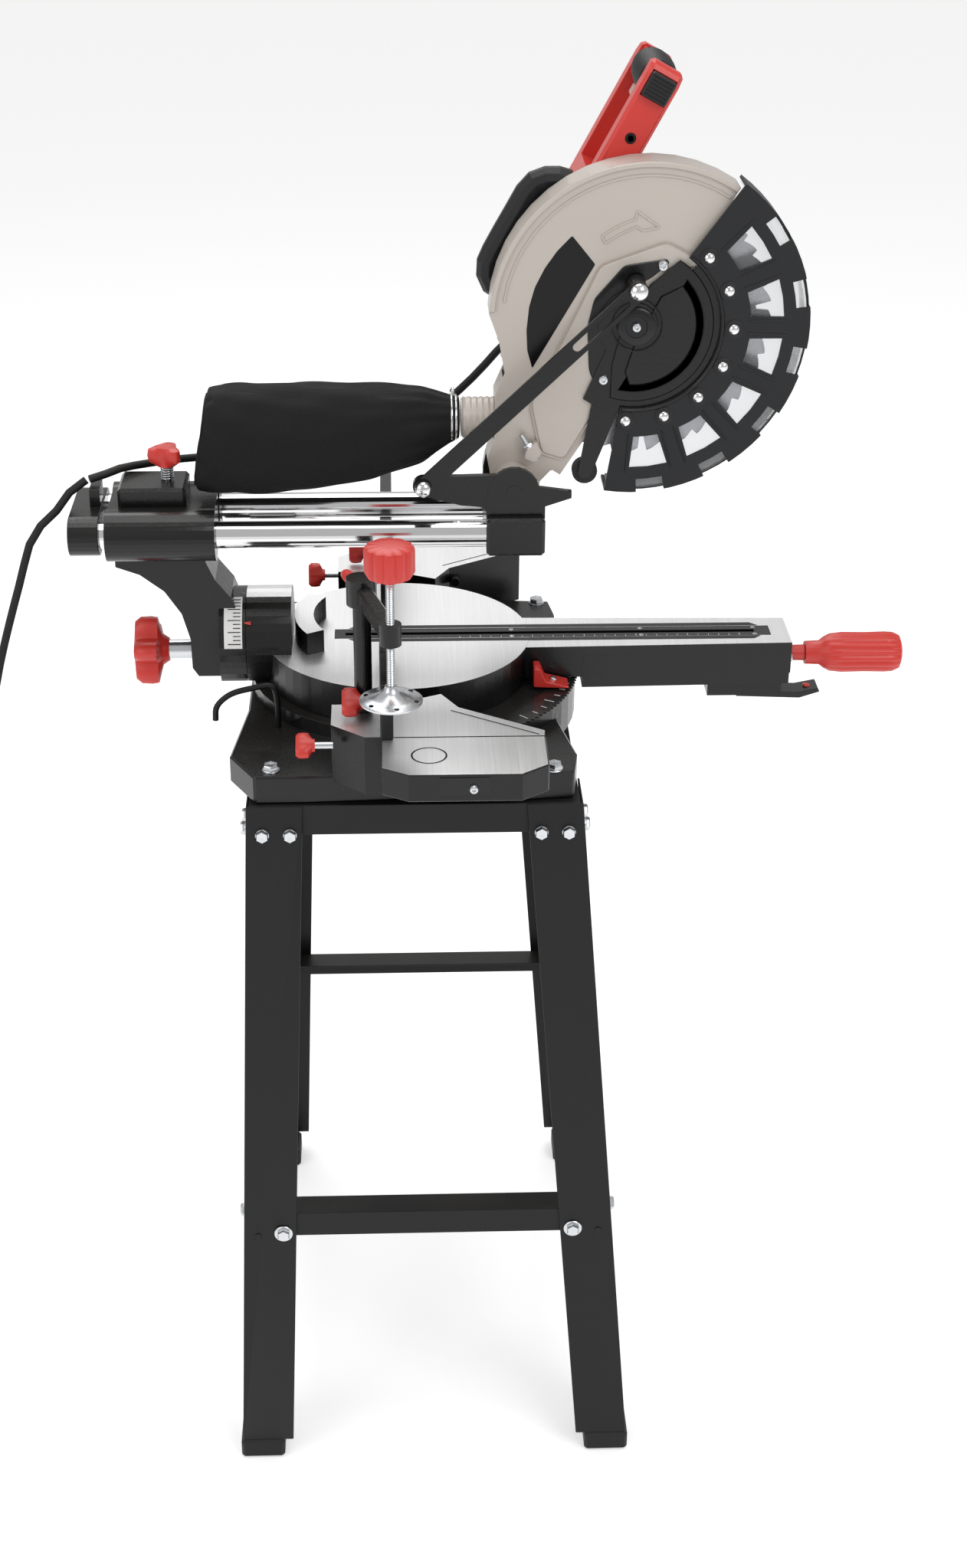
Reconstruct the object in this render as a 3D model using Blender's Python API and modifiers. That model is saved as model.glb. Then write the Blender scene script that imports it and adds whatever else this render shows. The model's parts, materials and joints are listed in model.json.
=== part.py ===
"""Sliding mitre saw on a steel stand, built as separate pieces.

Metres, +Z up.  Front (the operator's side) is -Y, the motor side is +X.
Every piece is modelled about the turntable's centre on the floor, and one
root empty then moves the whole object so that the centre of its footprint
box lies on the origin.
"""
import math

import bmesh
import bpy
from mathutils import Matrix, Vector

# ----------------------------------------------------------------- driving dimensions
GAP = 0.0003                    # clearance between pieces that touch
RUN = 0.0005                    # running clearance round a shaft

STAND_HEIGHT = 0.720            # floor to the top of the stand's upper rails
SHEET = 0.002                   # sheet steel of legs and rails
LEG_WIDTH = 0.051               # each flange of a leg
STAND_TOP_X = 0.207             # half length of the stand at its top
STAND_FOOT_X = 0.265            # half length at the floor
STAND_TOP_REAR = 0.138
STAND_TOP_FRONT = -0.166
STAND_FOOT_REAR = 0.167
STAND_FOOT_FRONT = -0.225
FOOT_SIZE = 0.044
FOOT_HEIGHT = 0.022
TOP_RAIL = 0.030                # flange of the upper rails
LOWER_RAIL = 0.027              # flange of the lower rails
LOWER_RAIL_Z = 0.290            # top of the lower rails

BASE_SLAB = 0.0277              # thickness of the base casting's ears
TABLE_HEIGHT = 0.0780           # stand top to the work surface
TABLE_Z = STAND_HEIGHT + TABLE_HEIGHT
DISC_RADIUS = 0.127             # turntable disc
HOUSING_RADIUS = 0.140          # rear half of the round base housing
SCALE_RADIUS = 0.172            # front half, under the mitre scale
HOUSING_TOP = 0.762             # level of the rim under the turntable
ARM_HALF = 0.036                # half width of the turntable's arm
ARM_END = -0.378
ARM_BOTTOM = 0.755
INSERT_HALF = 0.011             # kerf insert
INSERT_THICK = 0.003
INSERT_FRONT = -0.360
INSERT_REAR = 0.060
KERF_HALF = 0.003
GRIP_RADIUS = 0.0195
GRIP_LENGTH = 0.077
GRIP_Z = 0.774

TABLE_EDGE = 0.2255             # where the fixed tables end
EXTENSION_WIDTH = 0.0735
EXTENSION_THICK = 0.026
EXTENSION_ROD = 0.0045
EXTENSION_RODS = ((-0.006, 0.150), (-0.060, 0.160))      # each rod's y and the x of its inner end
FENCE_REAR = 0.0160
FENCE_FRONT = 0.0045
FENCE_INNER = 0.052
FENCE_LOW = 0.036               # height of the fixed fence
FENCE_HIGH = 0.085              # height of the tall fence
UPPER_FENCE_INNER = 0.145
UPPER_FENCE_OUTER = 0.232

RAIL_RADIUS = 0.0125
RAIL_WALL = 0.003
RAIL_SPREAD = 0.0375            # half spacing of the two guide rails
RAIL_Z = 0.9155
RAIL_FRONT = -0.130
RAIL_END = 0.296
HOUSING_FRONT_Y = 0.166         # rear housing that carries the rails
HOUSING_REAR_Y = 0.2665
HOUSING_WALL = 0.0115
CAP_RADIUS = 0.0185
CAP_FRONT = 0.2725
CAP_REAR = 0.3005

BEVEL_FLANGE = 0.048            # radius of the two bevel flanges
BEVEL_SPLIT_Y = 0.1425          # where the turning flange meets the fixed one
BEVEL_KNOB_Z = 0.784
BEVEL_KNOB_RADIUS = 0.034

PIVOT_Y = -0.1083               # chop pivot
PIVOT_Z = 0.957
PIVOT_PIN = 0.0075
BARREL_RADIUS = 0.020
EAR_INNER = 0.041
EAR_OUTER = 0.058               # outer face of the far ear
EAR_NEAR = 0.0466               # outer face of the near ear, inside the guard link's sweep
LINK_Y = -0.025                 # lower pivot of the guard link
LINK_Z = 0.964
LINK_TOP_Y = -0.2155
LINK_TOP_Z = 1.1450
LINK_WIDTH = 0.0165
LINK_X = -0.0505                # outer face of the link bar
LINK_THICK = 0.003

BLADE_RADIUS = 0.125
BLADE_THICK = 0.0024
BLADE_BORE = 0.015
BLADE_Y = -0.217
BLADE_Z = 1.106
GUARD_Y = -0.2275               # centre of the fixed guard's rim
GUARD_Z = 1.108
GUARD_RADIUS = 0.1425
GUARD_NEAR = -0.0165
GUARD_FAR = 0.0175
CAVITY_RADIUS = 0.129
CAVITY_HALF = 0.0125
LOWER_RADIUS = 0.1565           # swinging guard
LOWER_WALL = 0.0025
LOWER_INNER = 0.084
LOWER_NEAR = -0.0252
LOWER_FAR = 0.012
LOWER_START = -99.0             # degrees, forward is 0 and up is 90
LOWER_END = 54.0
HUB_RADIUS = 0.082
HUB_NEAR = -0.0217
HUB_THICK = 0.002
WINDOWS = 6
WINDOW_PITCH = 23.6             # degrees between windows
WINDOW_FIRST = 34.71
WINDOW_LOW = 0.103              # radii of a window
WINDOW_HIGH = 0.133
NOTCH_LOW = 0.1439              # the rim is notched outside this radius
ROLLER_RADIUS = 0.0117
ROLLER_PITCH = 0.1445           # roller centre from the blade axis
ROLLER_ANGLE = -107.0

GEAR_TEETH = 44
PINION_TEETH = 12
SHAFT_DISTANCE = 0.0455         # arbor to motor shaft
SHAFT_ANGLE = 135.0             # direction of the motor shaft, forward is 0
GEARBOX_NEAR = 0.0200
GEARBOX_FAR = 0.0620
GEARBOX_WALL = 0.006
GEAR_X = (0.030, 0.044)
MOTOR_RADIUS = 0.047
MOTOR_WALL = 0.004
MOTOR_FAR = 0.195
END_CAP = 0.018
ARBOR_RADIUS = 0.008
ROTOR_SHAFT = 0.005
ARMATURE_RADIUS = 0.0265

HANDLE_ANGLE = 61.5             # rake of the D-handle's arms
HANDLE_Y = -0.235               # centre of the handle bar
HANDLE_Z = 1.3085
HANDLE_NEAR = 0.018
HANDLE_FAR = 0.130
HANDLE_WIDTH = 0.032
HANDLE_REACH = 0.1275           # bar centre down to the yoke's foot
HANDLE_BAR = 0.0125
CARRY_RADIUS = 0.0115
CARRY_X = 0.0325

POST_X = -0.170                 # hold-down clamp
POST_Y = 0.031
POST_RADIUS = 0.008
POST_TOP = 0.925
CLAMP_X = -0.262
CLAMP_Y = 0.006
CLAMP_ARM_Z = 0.9125
SCREW_RADIUS = 0.0038
CLAMP_KNOB = 0.0215
CLAMP_PAD = 0.027

CORD_RADIUS = 0.0038
COIL_MID = 0.0420               # middle radius of the stored turns
COIL_HALF = 0.0125
COIL_HEIGHT = 0.0158
COIL_X = 0.020
COIL_Y = 0.560

FRONT_REACH = ARM_END - 0.036 - GRIP_LENGTH
ORIGIN_SHIFT = -(FRONT_REACH + CAP_REAR) / 2

# ------------------------------------------------------------------------- finishes
FINISHES = {
    "satin_black": ((0.012, 0.012, 0.013, 1), 0.42, 0.3),
    "gloss_black": ((0.010, 0.010, 0.011, 1), 0.28, 0.2),
    "machined": ((0.62, 0.63, 0.65, 1), 0.28, 1.0),
    "chrome": ((0.75, 0.75, 0.76, 1), 0.10, 1.0),
    "zinc": ((0.60, 0.62, 0.64, 1), 0.30, 1.0),
    "blade_steel": ((0.50, 0.50, 0.52, 1), 0.25, 1.0),
    "guard_cast": ((0.56, 0.52, 0.47, 1), 0.45, 0.1),
    "red_plastic": ((0.55, 0.035, 0.022, 1), 0.38, 0.0),
    "charcoal": ((0.030, 0.031, 0.034, 1), 0.62, 0.0),
    "clear": ((0.75, 0.76, 0.78, 1), 0.08, 0.0),
    "rubber": ((0.015, 0.015, 0.015, 1), 0.80, 0.0),
    "copper": ((0.60, 0.27, 0.12, 1), 0.35, 1.0),
    "bag_cloth": ((0.014, 0.014, 0.015, 1), 0.90, 0.0),
}


def clear_scene():
    """Start from an empty file."""
    for item in list(bpy.data.objects):
        bpy.data.objects.remove(item, do_unlink=True)


def material(finish):
    """The Principled material of a named finish, made once."""
    found = bpy.data.materials.get(finish)
    if found:
        return found
    colour, rough, metal = FINISHES[finish]
    made = bpy.data.materials.new(finish)
    made.use_nodes = True
    shader = made.node_tree.nodes["Principled BSDF"]
    shader.inputs["Base Color"].default_value = colour
    shader.inputs["Roughness"].default_value = rough
    shader.inputs["Metallic"].default_value = metal
    made.diffuse_color = colour
    return made


clear_scene()
PARTS = bpy.data.collections.new("mitre_saw_on_stand")
CUTTERS = bpy.data.collections.new("cutters")
for group in (PARTS, CUTTERS):
    bpy.context.scene.collection.children.link(group)
ROOT = bpy.data.objects.new("footprint_centre", None)
ROOT.location = (0.0, ORIGIN_SHIFT, 0.0)
PARTS.objects.link(ROOT)


# ---------------------------------------------------------------------- shape helpers
def place(name, mesh, finish=None):
    """Link a mesh as a part under the root empty."""
    item = bpy.data.objects.new(name, mesh)
    PARTS.objects.link(item)
    item.parent = ROOT
    if finish:
        mesh.materials.clear()
        mesh.materials.append(material(finish))
    mesh.shade_smooth()
    mesh.set_sharp_from_angle(angle=math.radians(35))
    return item


def from_bmesh(name, shape, finish=None):
    """Turn a bmesh into a part."""
    mesh = bpy.data.meshes.new(name)
    shape.to_mesh(mesh)
    shape.free()
    return place(name, mesh, finish)


def round_edges(item, width, steps=1, angle=40):
    """Bevel a part's sharp edges."""
    bevel = item.modifiers.new("edges", "BEVEL")
    bevel.width = width
    bevel.segments = steps
    bevel.limit_method = "ANGLE"
    bevel.angle_limit = math.radians(angle)
    return item


def box(name, low, high, finish=None, bevel=0.0):
    """A box between two corners, with its origin at its middle."""
    low, high = Vector(low), Vector(high)
    shape = bmesh.new()
    bmesh.ops.create_cube(shape, size=1.0)
    bmesh.ops.scale(shape, vec=high - low, verts=shape.verts)
    item = from_bmesh(name, shape, finish)
    item.location = (low + high) / 2
    return round_edges(item, bevel) if bevel else item


def rod(name, start, end, radius, finish=None, sides=24, end_radius=None):
    """A round bar from one point to another; it may taper."""
    start, end = Vector(start), Vector(end)
    shape = bmesh.new()
    bmesh.ops.create_cone(shape, cap_ends=True, cap_tris=False, segments=sides, radius1=radius,
                          radius2=radius if end_radius is None else end_radius,
                          depth=(end - start).length)
    item = from_bmesh(name, shape, finish)
    item.location = (start + end) / 2
    item.rotation_mode = "QUATERNION"
    item.rotation_quaternion = (end - start).to_track_quat("Z", "Y")
    return item


AXIS_FRAMES = {
    "X": Matrix(((0, 0, 1, 0), (1, 0, 0, 0), (0, 1, 0, 0), (0, 0, 0, 1))),
    "Y": Matrix(((1, 0, 0, 0), (0, 0, -1, 0), (0, 1, 0, 0), (0, 0, 0, 1))),
    "Z": Matrix.Identity(4),
}


def closed_mesh(name, item):
    """The evaluated mesh of a curve object, welded, facing out; the curve goes."""
    bpy.context.view_layer.update()
    seen = item.evaluated_get(bpy.context.evaluated_depsgraph_get())
    mesh = bpy.data.meshes.new_from_object(seen)
    shape = bmesh.new()
    shape.from_mesh(mesh)
    bmesh.ops.remove_doubles(shape, verts=shape.verts, dist=1e-5)
    bmesh.ops.recalc_face_normals(shape, faces=shape.faces)
    shape.to_mesh(mesh)
    shape.free()
    mesh.name = name
    bpy.data.objects.remove(item, do_unlink=True)
    return mesh


def slab(name, outline, low, high, axis, finish=None, bevel=0.0, steps=1):
    """A flat outline given thickness along an axis.

    The outline's two numbers are (y, z) along X, (x, z) along Y and (x, y) along Z.
    """
    curve = bpy.data.curves.new(name, "CURVE")
    curve.dimensions = "2D"
    curve.fill_mode = "BOTH"
    curve.extrude = (high - low) / 2
    spline = curve.splines.new("POLY")
    spline.points.add(len(outline) - 1)
    for point, (u, v) in zip(spline.points, outline):
        point.co = (u, v, 0.0, 1.0)
    spline.use_cyclic_u = True
    flat = bpy.data.objects.new(name, curve)
    PARTS.objects.link(flat)
    mesh = closed_mesh(name, flat)
    middle = (low + high) / 2
    shift = {"X": (middle, 0, 0), "Y": (0, middle, 0), "Z": (0, 0, middle)}[axis]
    mesh.transform(Matrix.Translation(shift) @ AXIS_FRAMES[axis])
    item = place(name, mesh, finish)
    return round_edges(item, bevel, steps) if bevel else item


def tube(name, points, radius, finish=None, resolution=2, cyclic=False):
    """A wire or handle along points, as a bevelled curve."""
    curve = bpy.data.curves.new(name, "CURVE")
    curve.dimensions = "3D"
    curve.bevel_depth = radius
    curve.bevel_resolution = resolution
    curve.use_fill_caps = not cyclic
    curve.render_resolution_u = 0
    spline = curve.splines.new("POLY")
    spline.points.add(len(points) - 1)
    for point, at in zip(spline.points, points):
        point.co = (*at, 1.0)
    spline.use_cyclic_u = cyclic
    item = bpy.data.objects.new(name, curve)
    PARTS.objects.link(item)
    return place(name, closed_mesh(name, item), finish)


def turned(name, profile, base, axis, finish=None, steps=32):
    """A turned piece: profile rows are (radius, distance along the axis)."""
    mesh = bpy.data.meshes.new(name)
    points = [(r, 0.0, t) for r, t in profile]
    closed = profile[0][0] > 0
    edges = [(i, i + 1) for i in range(len(points) - 1)]
    if closed:
        edges.append((len(points) - 1, 0))
    mesh.from_pydata(points, edges, [])
    item = place(name, mesh, finish)
    screw = item.modifiers.new("turn", "SCREW")
    screw.steps = steps
    screw.render_steps = steps
    screw.use_merge_vertices = True
    screw.merge_threshold = 1e-5
    item.location = base
    item.rotation_mode = "QUATERNION"
    item.rotation_quaternion = Vector(axis).to_track_quat("Z", "Y")
    return item


def as_tool(item):
    """Move an object to the cutters, unseen by renders."""
    PARTS.objects.unlink(item)
    CUTTERS.objects.link(item)
    item.hide_render = True
    item.display_type = "WIRE"
    return item


def combine(item, tool, operation):
    """Apply one exact Boolean between a part and a tool."""
    step = item.modifiers.new(tool.name, "BOOLEAN")
    step.operation = operation
    step.solver = "EXACT"
    step.object = as_tool(tool)
    return item


def cut(item, tool):
    """Take a tool away from a part."""
    return combine(item, tool, "DIFFERENCE")


def join(item, tool):
    """Make a tool one body with a part."""
    return combine(item, tool, "UNION")


def arc(cy, cz, radius, start, end, count):
    """Points on a circle, angles in degrees from +u towards +v."""
    return [(cy + radius * math.cos(math.radians(start + (end - start) * i / count)),
             cz + radius * math.sin(math.radians(start + (end - start) * i / count)))
            for i in range(count + 1)]


def forward(cy, cz, radius, degrees):
    """A (y, z) point at an angle where forward (-Y) is 0 and up is 90."""
    a = math.radians(degrees)
    return (cy - radius * math.cos(a), cz + radius * math.sin(a))


def fan(cy, cz, radius, start, end, count):
    """Points on a circle by forward angle."""
    return [forward(cy, cz, radius, start + (end - start) * i / count) for i in range(count + 1)]


# -------------------------------------------------------------------------- the stand
def leg_corner(side_x, side_y, z):
    """Outer corner of a leg at a height."""
    drop = (STAND_HEIGHT - z) / STAND_HEIGHT
    x = STAND_TOP_X + (STAND_FOOT_X - STAND_TOP_X) * drop
    if side_y > 0:
        y = STAND_TOP_REAR + (STAND_FOOT_REAR - STAND_TOP_REAR) * drop
    else:
        y = STAND_TOP_FRONT + (STAND_FOOT_FRONT - STAND_TOP_FRONT) * drop
    return side_x * x, y


def angle_outline(width, sheet, sx, sy):
    """An L section whose corner is at 0,0 and whose flanges run inwards."""
    points = [(0, 0), (width, 0), (width, sheet), (sheet, sheet), (sheet, width), (0, width)]
    return [(-sx * u, -sy * v) for u, v in points]


def stand():
    """Four legs, four upper rails, four lower rails and four feet."""
    low = FOOT_HEIGHT + GAP
    for sx, side in ((-1, "near"), (1, "far")):
        for sy, end in ((1, "rear"), (-1, "front")):
            top_x, top_y = leg_corner(sx, sy, STAND_HEIGHT)
            low_x, low_y = leg_corner(sx, sy, low)
            leg = slab(f"leg_{side}_{end}", angle_outline(LEG_WIDTH, SHEET, sx, sy),
                       low - STAND_HEIGHT, -0.0001, "Z", "satin_black")
            lean = Matrix.Identity(4)
            lean[0][2] = (top_x - low_x) / (STAND_HEIGHT - low)
            lean[1][2] = (top_y - low_y) / (STAND_HEIGHT - low)
            leg.data.transform(lean)
            leg.location = (top_x, top_y, STAND_HEIGHT)
            foot_low = (low_x + sx * 0.002, low_y + sy * 0.002)
            foot_high = (low_x - sx * (FOOT_SIZE - 0.002), low_y - sy * (FOOT_SIZE - 0.002))
            box(f"foot_{side}_{end}",
                (min(foot_low[0], foot_high[0]), min(foot_low[1], foot_high[1]), 0.0),
                (max(foot_low[0], foot_high[0]), max(foot_low[1], foot_high[1]), FOOT_HEIGHT),
                "rubber", 0.003)
    rails(STAND_HEIGHT, TOP_RAIL, "top_rail")
    rails(LOWER_RAIL_Z, LOWER_RAIL, "lower_rail")


def rails(top, flange, name):
    """Four angle rails at one height, inside the legs."""
    inset = SHEET + GAP
    x = leg_corner(1, 1, top)[0] - inset
    rear = leg_corner(1, 1, top)[1] - inset
    front = leg_corner(1, -1, top)[1] + inset
    for sx, side in ((-1, "near"), (1, "far")):
        rail = slab(f"{name}_{side}", [(-sx * u, -v) for u, v in
                    ((0, 0), (flange, 0), (flange, SHEET), (SHEET, SHEET), (SHEET, flange), (0, flange))],
                    front, rear, "Y", "satin_black")
        rail.location = (sx * x, 0, top)
    side_x = x - inset
    for sy, end, y in ((1, "rear", rear), (-1, "front", front)):
        rail = slab(f"{name}_{end}", [(-sy * u, -v) for u, v in
                    ((0, 0), (flange, 0), (flange, SHEET), (SHEET, SHEET), (SHEET, flange - inset),
                     (0, flange - inset))], -side_x, side_x, "X", "satin_black")
        rail.location = (0, y, top - inset)


# --------------------------------------------------------------------------- the base
def base():
    """Base casting with its ears, round housing and the two fixed tables."""
    low = STAND_HEIGHT + GAP
    slab_top = STAND_HEIGHT + BASE_SLAB
    ears = [(-0.202, 0.130), (-0.158, 0.154), (-0.06, 0.142), (0.06, 0.142), (0.158, 0.154), (0.202, 0.130),
            (0.202, 0.09), (0.198, 0.0), (0.201, -0.115), (0.197, -0.158), (0.160, -0.163), (0.09, -0.150),
            (-0.09, -0.150), (-0.160, -0.163), (-0.197, -0.158), (-0.201, -0.115), (-0.198, 0.0), (-0.202, 0.09)]
    casting = slab("base_casting", ears, low, slab_top, "Z", "gloss_black", 0.002)
    housing = slab("round_housing", arc(0, 0, HOUSING_RADIUS, -10, 190, 24)
                   + arc(0, 0, SCALE_RADIUS, 204, 336, 20), low + 0.004, HOUSING_TOP, "Z")
    join(casting, housing)
    for sx in (-1, 1):
        edge = TABLE_EDGE
        table = [(sx * 0.158, 0.060), (sx * 0.158, 0.004), (sx * 0.1375, -0.039), (sx * 0.166, -0.054),
                 (sx * 0.215, -0.129), (sx * edge, -0.128), (sx * edge, 0.030), (sx * 0.200, 0.060)]
        join(casting, slab(f"table_{sx}", table, slab_top - 0.006, TABLE_Z, "Z"))
        post = [(sx * 0.129, 0.0035), (sx * 0.162, 0.0035), (sx * 0.162, 0.050), (sx * 0.129, 0.050)]
        join(casting, slab(f"fence_seat_{sx}", post, slab_top - 0.004, TABLE_Z - 0.0002, "Z"))
        for y, start in EXTENSION_RODS:
            cut(casting, rod(f"rod_bore_{sx}_{y}", (sx * (start - 0.025), y, TABLE_Z - 0.0135),
                             (sx * 0.24, y, TABLE_Z - 0.0135), EXTENSION_ROD + RUN, sides=16))
    cut(casting, box("underside", (-0.185, -0.14, low - 0.01), (0.185, 0.12, low + 0.018)))


def fences():
    """Fixed fences either side, and the tall fence pieces that slide on them."""
    for sx, side in ((-1, "near"), (1, "far")):
        x0, x1 = sorted((sx * FENCE_INNER, sx * UPPER_FENCE_OUTER))
        tall = UPPER_FENCE_INNER if sx < 0 else 0.075
        fence = box(f"fence_{side}", (x0, FENCE_FRONT, TABLE_Z + GAP),
                    (x1, FENCE_REAR, TABLE_Z + FENCE_LOW), "gloss_black", 0.001)
        inner, outer = sorted((sx * tall, sx * UPPER_FENCE_OUTER))
        upper_low = TABLE_Z + FENCE_LOW + GAP if sx < 0 else TABLE_Z + FENCE_LOW - 0.004
        upper = box(f"upper_fence_{side}", (inner, FENCE_FRONT, upper_low),
                    (outer, FENCE_REAR, TABLE_Z + FENCE_HIGH), "gloss_black", 0.001)
        if sx > 0:
            join(fence, upper)


def extensions():
    """Side extension tables with the rods that carry them."""
    for sx, side in ((-1, "near"), (1, "far")):
        inner = TABLE_EDGE + GAP
        outer = inner + EXTENSION_WIDTH
        top = [(sx * inner, 0.015), (sx * inner, -0.129), (sx * (outer - 0.018), -0.129),
               (sx * outer, -0.105), (sx * outer, -0.008), (sx * (outer - 0.014), 0.015)]
        table = slab(f"extension_{side}", top, TABLE_Z - EXTENSION_THICK, TABLE_Z, "Z", "machined", 0.001)
        for y, start in EXTENSION_RODS:
            join(table, rod(f"extension_rod_{side}_{y}", (sx * start, y, TABLE_Z - 0.0135),
                            (sx * (inner + 0.01), y, TABLE_Z - 0.0135), EXTENSION_ROD, sides=16))


def turntable():
    """Turning disc with its arm, detent housing and the fixed bevel flange."""
    table = rod("turntable", (0, 0, HOUSING_TOP + 0.0006), (0, 0, TABLE_Z), DISC_RADIUS, "machined", 64)
    arm_far = [(-ARM_HALF, -0.10), (ARM_HALF, -0.10), (0.030, ARM_END), (-0.030, ARM_END)]
    join(table, slab("arm_top", arm_far, HOUSING_TOP + 0.004, TABLE_Z - 0.0001, "Z"))
    deep = [(-0.0345, -0.1765), (0.0345, -0.1765), (0.0299, ARM_END + 0.001), (-0.0299, ARM_END + 0.001)]
    join(table, slab("arm_deep", deep, ARM_BOTTOM, TABLE_Z - 0.01, "Z"))
    join(table, box("detent_housing", (-0.020, -0.372, 0.738), (0.020, -0.300, ARM_BOTTOM + 0.005)))
    flange = rod("flange", (0, 0.100, TABLE_Z), (0, BEVEL_SPLIT_Y, TABLE_Z), BEVEL_FLANGE, sides=40)
    cut(flange, box("flange_floor", (-0.06, 0.09, 0.70), (0.06, 0.15, HOUSING_TOP + 0.004)))
    join(table, flange)
    ring = slab("rear_ring", arc(0, 0, 0.098, 60, 120, 10) + arc(0, 0, 0.080, 120, 60, 10),
                TABLE_Z - 0.004, TABLE_Z + 0.022, "Z")
    join(table, ring)
    cut(table, box("insert_seat", (-INSERT_HALF - GAP, INSERT_FRONT - GAP, TABLE_Z - INSERT_THICK - GAP),
                   (INSERT_HALF + GAP, INSERT_REAR + GAP, TABLE_Z + 0.01)))
    cut(table, box("kerf_trough", (-0.006, INSERT_FRONT + 0.012, TABLE_Z - 0.016),
                   (0.006, INSERT_REAR - 0.008, TABLE_Z + 0.01)))
    cut(table, rod("lock_bore", (0, ARM_END - 0.01, GRIP_Z), (0, -0.205, GRIP_Z), 0.0056, sides=16))
    insert = box("kerf_insert", (-INSERT_HALF, INSERT_FRONT, TABLE_Z - INSERT_THICK),
                 (INSERT_HALF, INSERT_REAR, TABLE_Z - 0.0002), "gloss_black")
    cut(insert, box("kerf_slot", (-KERF_HALF, INSERT_FRONT + 0.015, TABLE_Z - 0.02),
                    (KERF_HALF, INSERT_REAR - 0.010, TABLE_Z + 0.02)))
    turned("mitre_grip", [(0, 0), (0.0165, 0), (GRIP_RADIUS, -0.006), (GRIP_RADIUS, -0.050),
                          (0.0175, -0.071), (0.0115, -GRIP_LENGTH), (0.0115, -GRIP_LENGTH - 0.017),
                          (0.0075, -GRIP_LENGTH - 0.020), (0.0075, -GRIP_LENGTH - 0.033),
                          (0.005, -GRIP_LENGTH - 0.033), (0.005, -GRIP_LENGTH - 0.205),
                          (0, -GRIP_LENGTH - 0.205)],
           (0, FRONT_REACH, GRIP_Z), (0, -1, 0), "red_plastic", 28)
    slab("detent_lever", [(-0.330, 0.7365), (-0.330, 0.7325), (-0.392, 0.7300), (-0.412, 0.7365),
                          (-0.410, 0.7405), (-0.390, 0.7365), (-0.374, 0.7370)],
         -0.011, 0.011, "X", "gloss_black", 0.001)


# --------------------------------------------------------------- bevel arm and slide
def bevel_arm():
    """Casting that tilts about the table surface and carries the guide rails."""
    arm = rod("bevel_arm", (0, BEVEL_SPLIT_Y + RUN, TABLE_Z), (0, 0.168, TABLE_Z), BEVEL_FLANGE,
              "gloss_black", 40)
    cut(arm, box("moving_flange_floor", (-0.06, 0.13, 0.70), (0.06, 0.18, HOUSING_TOP + 0.004)))
    curve = [(0.1455, 0.800), (0.1475, 0.825), (0.156, 0.848), (0.170, 0.866), (0.178, 0.884), (0.178, 0.905),
             (0.262, 0.905), (0.262, 0.880), (0.240, 0.872), (0.218, 0.855), (0.203, 0.832), (0.196, 0.806),
             (0.1955, 0.776), (0.190, 0.7675), (0.146, 0.7675)]
    join(arm, slab("curved_arm", curve, -0.0275, 0.0275, "X"))
    for sx in (-1, 1):
        x = sx * RAIL_SPREAD
        join(arm, rod(f"sleeve_{sx}", (x, HOUSING_FRONT_Y, RAIL_Z), (x, HOUSING_REAR_Y, RAIL_Z),
                      RAIL_RADIUS + HOUSING_WALL, sides=36))
    join(arm, box("sleeve_web", (-RAIL_SPREAD + 0.008, HOUSING_FRONT_Y + 0.001, RAIL_Z - 0.0207),
                  (RAIL_SPREAD - 0.008, HOUSING_REAR_Y - 0.001, RAIL_Z + 0.0223)))
    join(arm, box("top_block", (-0.026, 0.193, RAIL_Z), (0.026, 0.2560, 0.956), bevel=0.003))
    for sx in (-1, 1):
        x = sx * RAIL_SPREAD
        cut(arm, rod(f"rail_bore_{sx}", (x, 0.1, RAIL_Z), (x, 0.35, RAIL_Z), RAIL_RADIUS + RUN, sides=32))
    lobes = []
    for k in range(40):
        a = 2 * math.pi * k / 40
        r = BEVEL_KNOB_RADIUS - 0.0085 * (0.5 - 0.5 * math.cos(5 * a))
        lobes.append((r * math.sin(a), BEVEL_KNOB_Z + r * math.cos(a)))
    knob = slab("bevel_knob", lobes, 0.2250, 0.2520, "Y", "red_plastic", 0.003)
    join(knob, rod("bevel_knob_shaft", (0, 0.1960, BEVEL_KNOB_Z), (0, 0.230, BEVEL_KNOB_Z), 0.0095, sides=20))
    lock = slab("slide_lock_knob", arc(0, 0.2115, 0.0115, 0, 348, 29), 0.970, 0.988, "Z",
                "red_plastic", 0.002)
    join(lock, rod("slide_lock_pin", (0, 0.2115, 0.9563), (0, 0.2115, 0.975), 0.0038, sides=14))


def ear_outline():
    """Side outline of the carriage's ear, with its nose."""
    top = arc(PIVOT_Y, PIVOT_Z, 0.024, 15, 150, 8)
    return ([(-0.083, RAIL_Z + 0.012), (-0.083, 0.952)] + top
            + [(-0.1315, 0.9625), (-0.161, 0.9585), (-0.161, 0.952), (-0.137, 0.944),
               (-0.137, RAIL_Z + 0.012)])


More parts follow.
